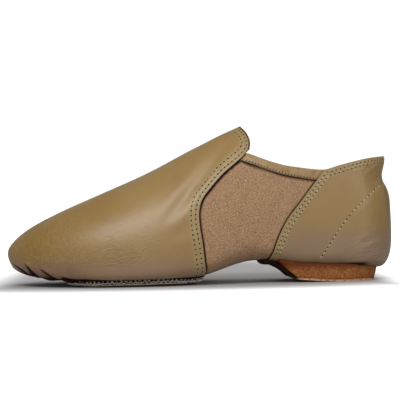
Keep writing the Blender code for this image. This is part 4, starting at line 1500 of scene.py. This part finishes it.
def make_floor():
    made = primitive("floor", bpy.ops.mesh.primitive_plane_add, size=12.0, location=(0.0, 0.0, 0.0))
    finish, tree, shader, place = start_material("white floor", 0.95, Specular_IOR_Level=0.1)
    path, axes = put(tree, "LightPath").outputs, axes_of(tree, place)
    seen, x, y = path["Is Camera Ray"], axes["X"], axes["Y"]
    base = blend_colour(tree, path["Is Diffuse Ray"], (0.46, 0.45, 0.45), (0.42, 0.42, 0.42))
    fill(tree, shader["Base Color"], base)
    across = most(tree, times(tree, y, GLOW_BEHIND), times(tree, y, GLOW_IN_FRONT))
    along = times(tree, x, GLOW_ALONG)
    away = sums(tree, "SQRT", sums(tree, "MULTIPLY_ADD", across, across, times(tree, along, along)))
    glow = ramp(tree, away, GLOW_STARTS, GLOW_ENDS, 0.0, 1.1)
    for ends in (PAST_TOE, PAST_HEEL):
        glow = most(tree, glow, ramp(tree, x, *ends, 0.0, 0.9))
    fill(tree, shader["Emission Color"], (1.0, 1.0, 1.0))
    fill(tree, shader["Emission Strength"], times(tree, glow, seen))
    below = times(tree, put(tree, "NewGeometry").outputs["Backfacing"], seen)
    surface, clear = tree.nodes["Principled BSDF"].outputs[0], put(tree, "BsdfTransparent").outputs[0]
    both = put(tree, "MixShader", n0=below, n1=surface, n2=clear).outputs[0]
    tree.links.new(both, tree.nodes["Material Output"].inputs["Surface"])
    dress(finish, made)
    return made


floor = make_floor()


# %% Light
LIGHT_COLUMNS = ("name", "place", "aim", "size", "power", "in_gloss")
LIGHTS = (
    ("key box", (-0.23, -0.70, 0.73), (0.0, 0.0, 0.05), (0.64, 0.32), 4.7, True),
    ("side box", (0.95, -1.05, 0.52), (0.05, 0.0, 0.05), (0.7, 0.4), 2.6, True),
    ("top box", (0.05, 0.12, 1.1), (0.0, 0.0, 0.05), (0.9, 0.6), 2.4, False),
    ("back box", (0.15, 1.1, 0.65), (0.0, 0.0, 0.05), (0.9, 0.5), 2.4, False),
    ("front box", (-0.10, -1.35, 0.20), (0.0, 0.0, 0.04), (1.4, 0.4), 2.0, False),
)


def soft_light(name, place, aim, size, power, in_gloss):
    lamp = bpy.data.lights.new(name, "AREA")
    lamp.shape = "RECTANGLE"
    lamp.size, lamp.size_y = size
    lamp.energy = power
    made = bpy.data.objects.new(name, lamp)
    bpy.context.scene.collection.objects.link(made)
    made.location = place
    made.rotation_euler = (Vector(aim) - Vector(place)).to_track_quat("-Z", "Y").to_euler()
    made.visible_glossy = in_gloss


def set_world():
    world = bpy.data.worlds.new("studio")
    bpy.context.scene.world = world
    world.use_nodes = True
    tree = world.node_tree
    back = tree.nodes["Background"].inputs
    fill(tree, back["Color"], (1.0, 1.0, 1.0))
    ahead = axes_of(tree, tree.nodes.new("ShaderNodeTexCoord").outputs["Generated"])["Y"]
    seen = put(tree, "LightPath").outputs["Is Camera Ray"]
    fill(tree, back["Strength"], blend(tree, seen, ramp(tree, ahead, -0.3, 0.4, 0.40, 0.27), 1.05))


set_world()
for values in LIGHTS:
    soft_light(**dict(zip(LIGHT_COLUMNS, values)))
bpy.context.scene.view_settings.view_transform = "Standard"
print("lights:", len(LIGHTS))

# %% Camera
SENSOR, FOCAL_LENGTH = 36.0, 124.8
CAMERA_PLACE, ROLL = (0.0015, -0.900, 0.0535), math.radians(1.2)


def set_camera():
    lens = bpy.data.cameras.new("camera")
    lens.sensor_width, lens.lens = SENSOR, FOCAL_LENGTH
    made = bpy.data.objects.new("camera", lens)
    bpy.context.scene.collection.objects.link(made)
    right = Vector((math.cos(ROLL), 0.0, -math.sin(ROLL)))
    up = Vector((math.sin(ROLL), 0.0, math.cos(ROLL)))
    turned = Matrix((right, up, right.cross(up))).transposed().to_4x4()
    made.matrix_world = Matrix.Translation(CAMERA_PLACE) @ turned
    bpy.context.scene.camera = made


set_camera()
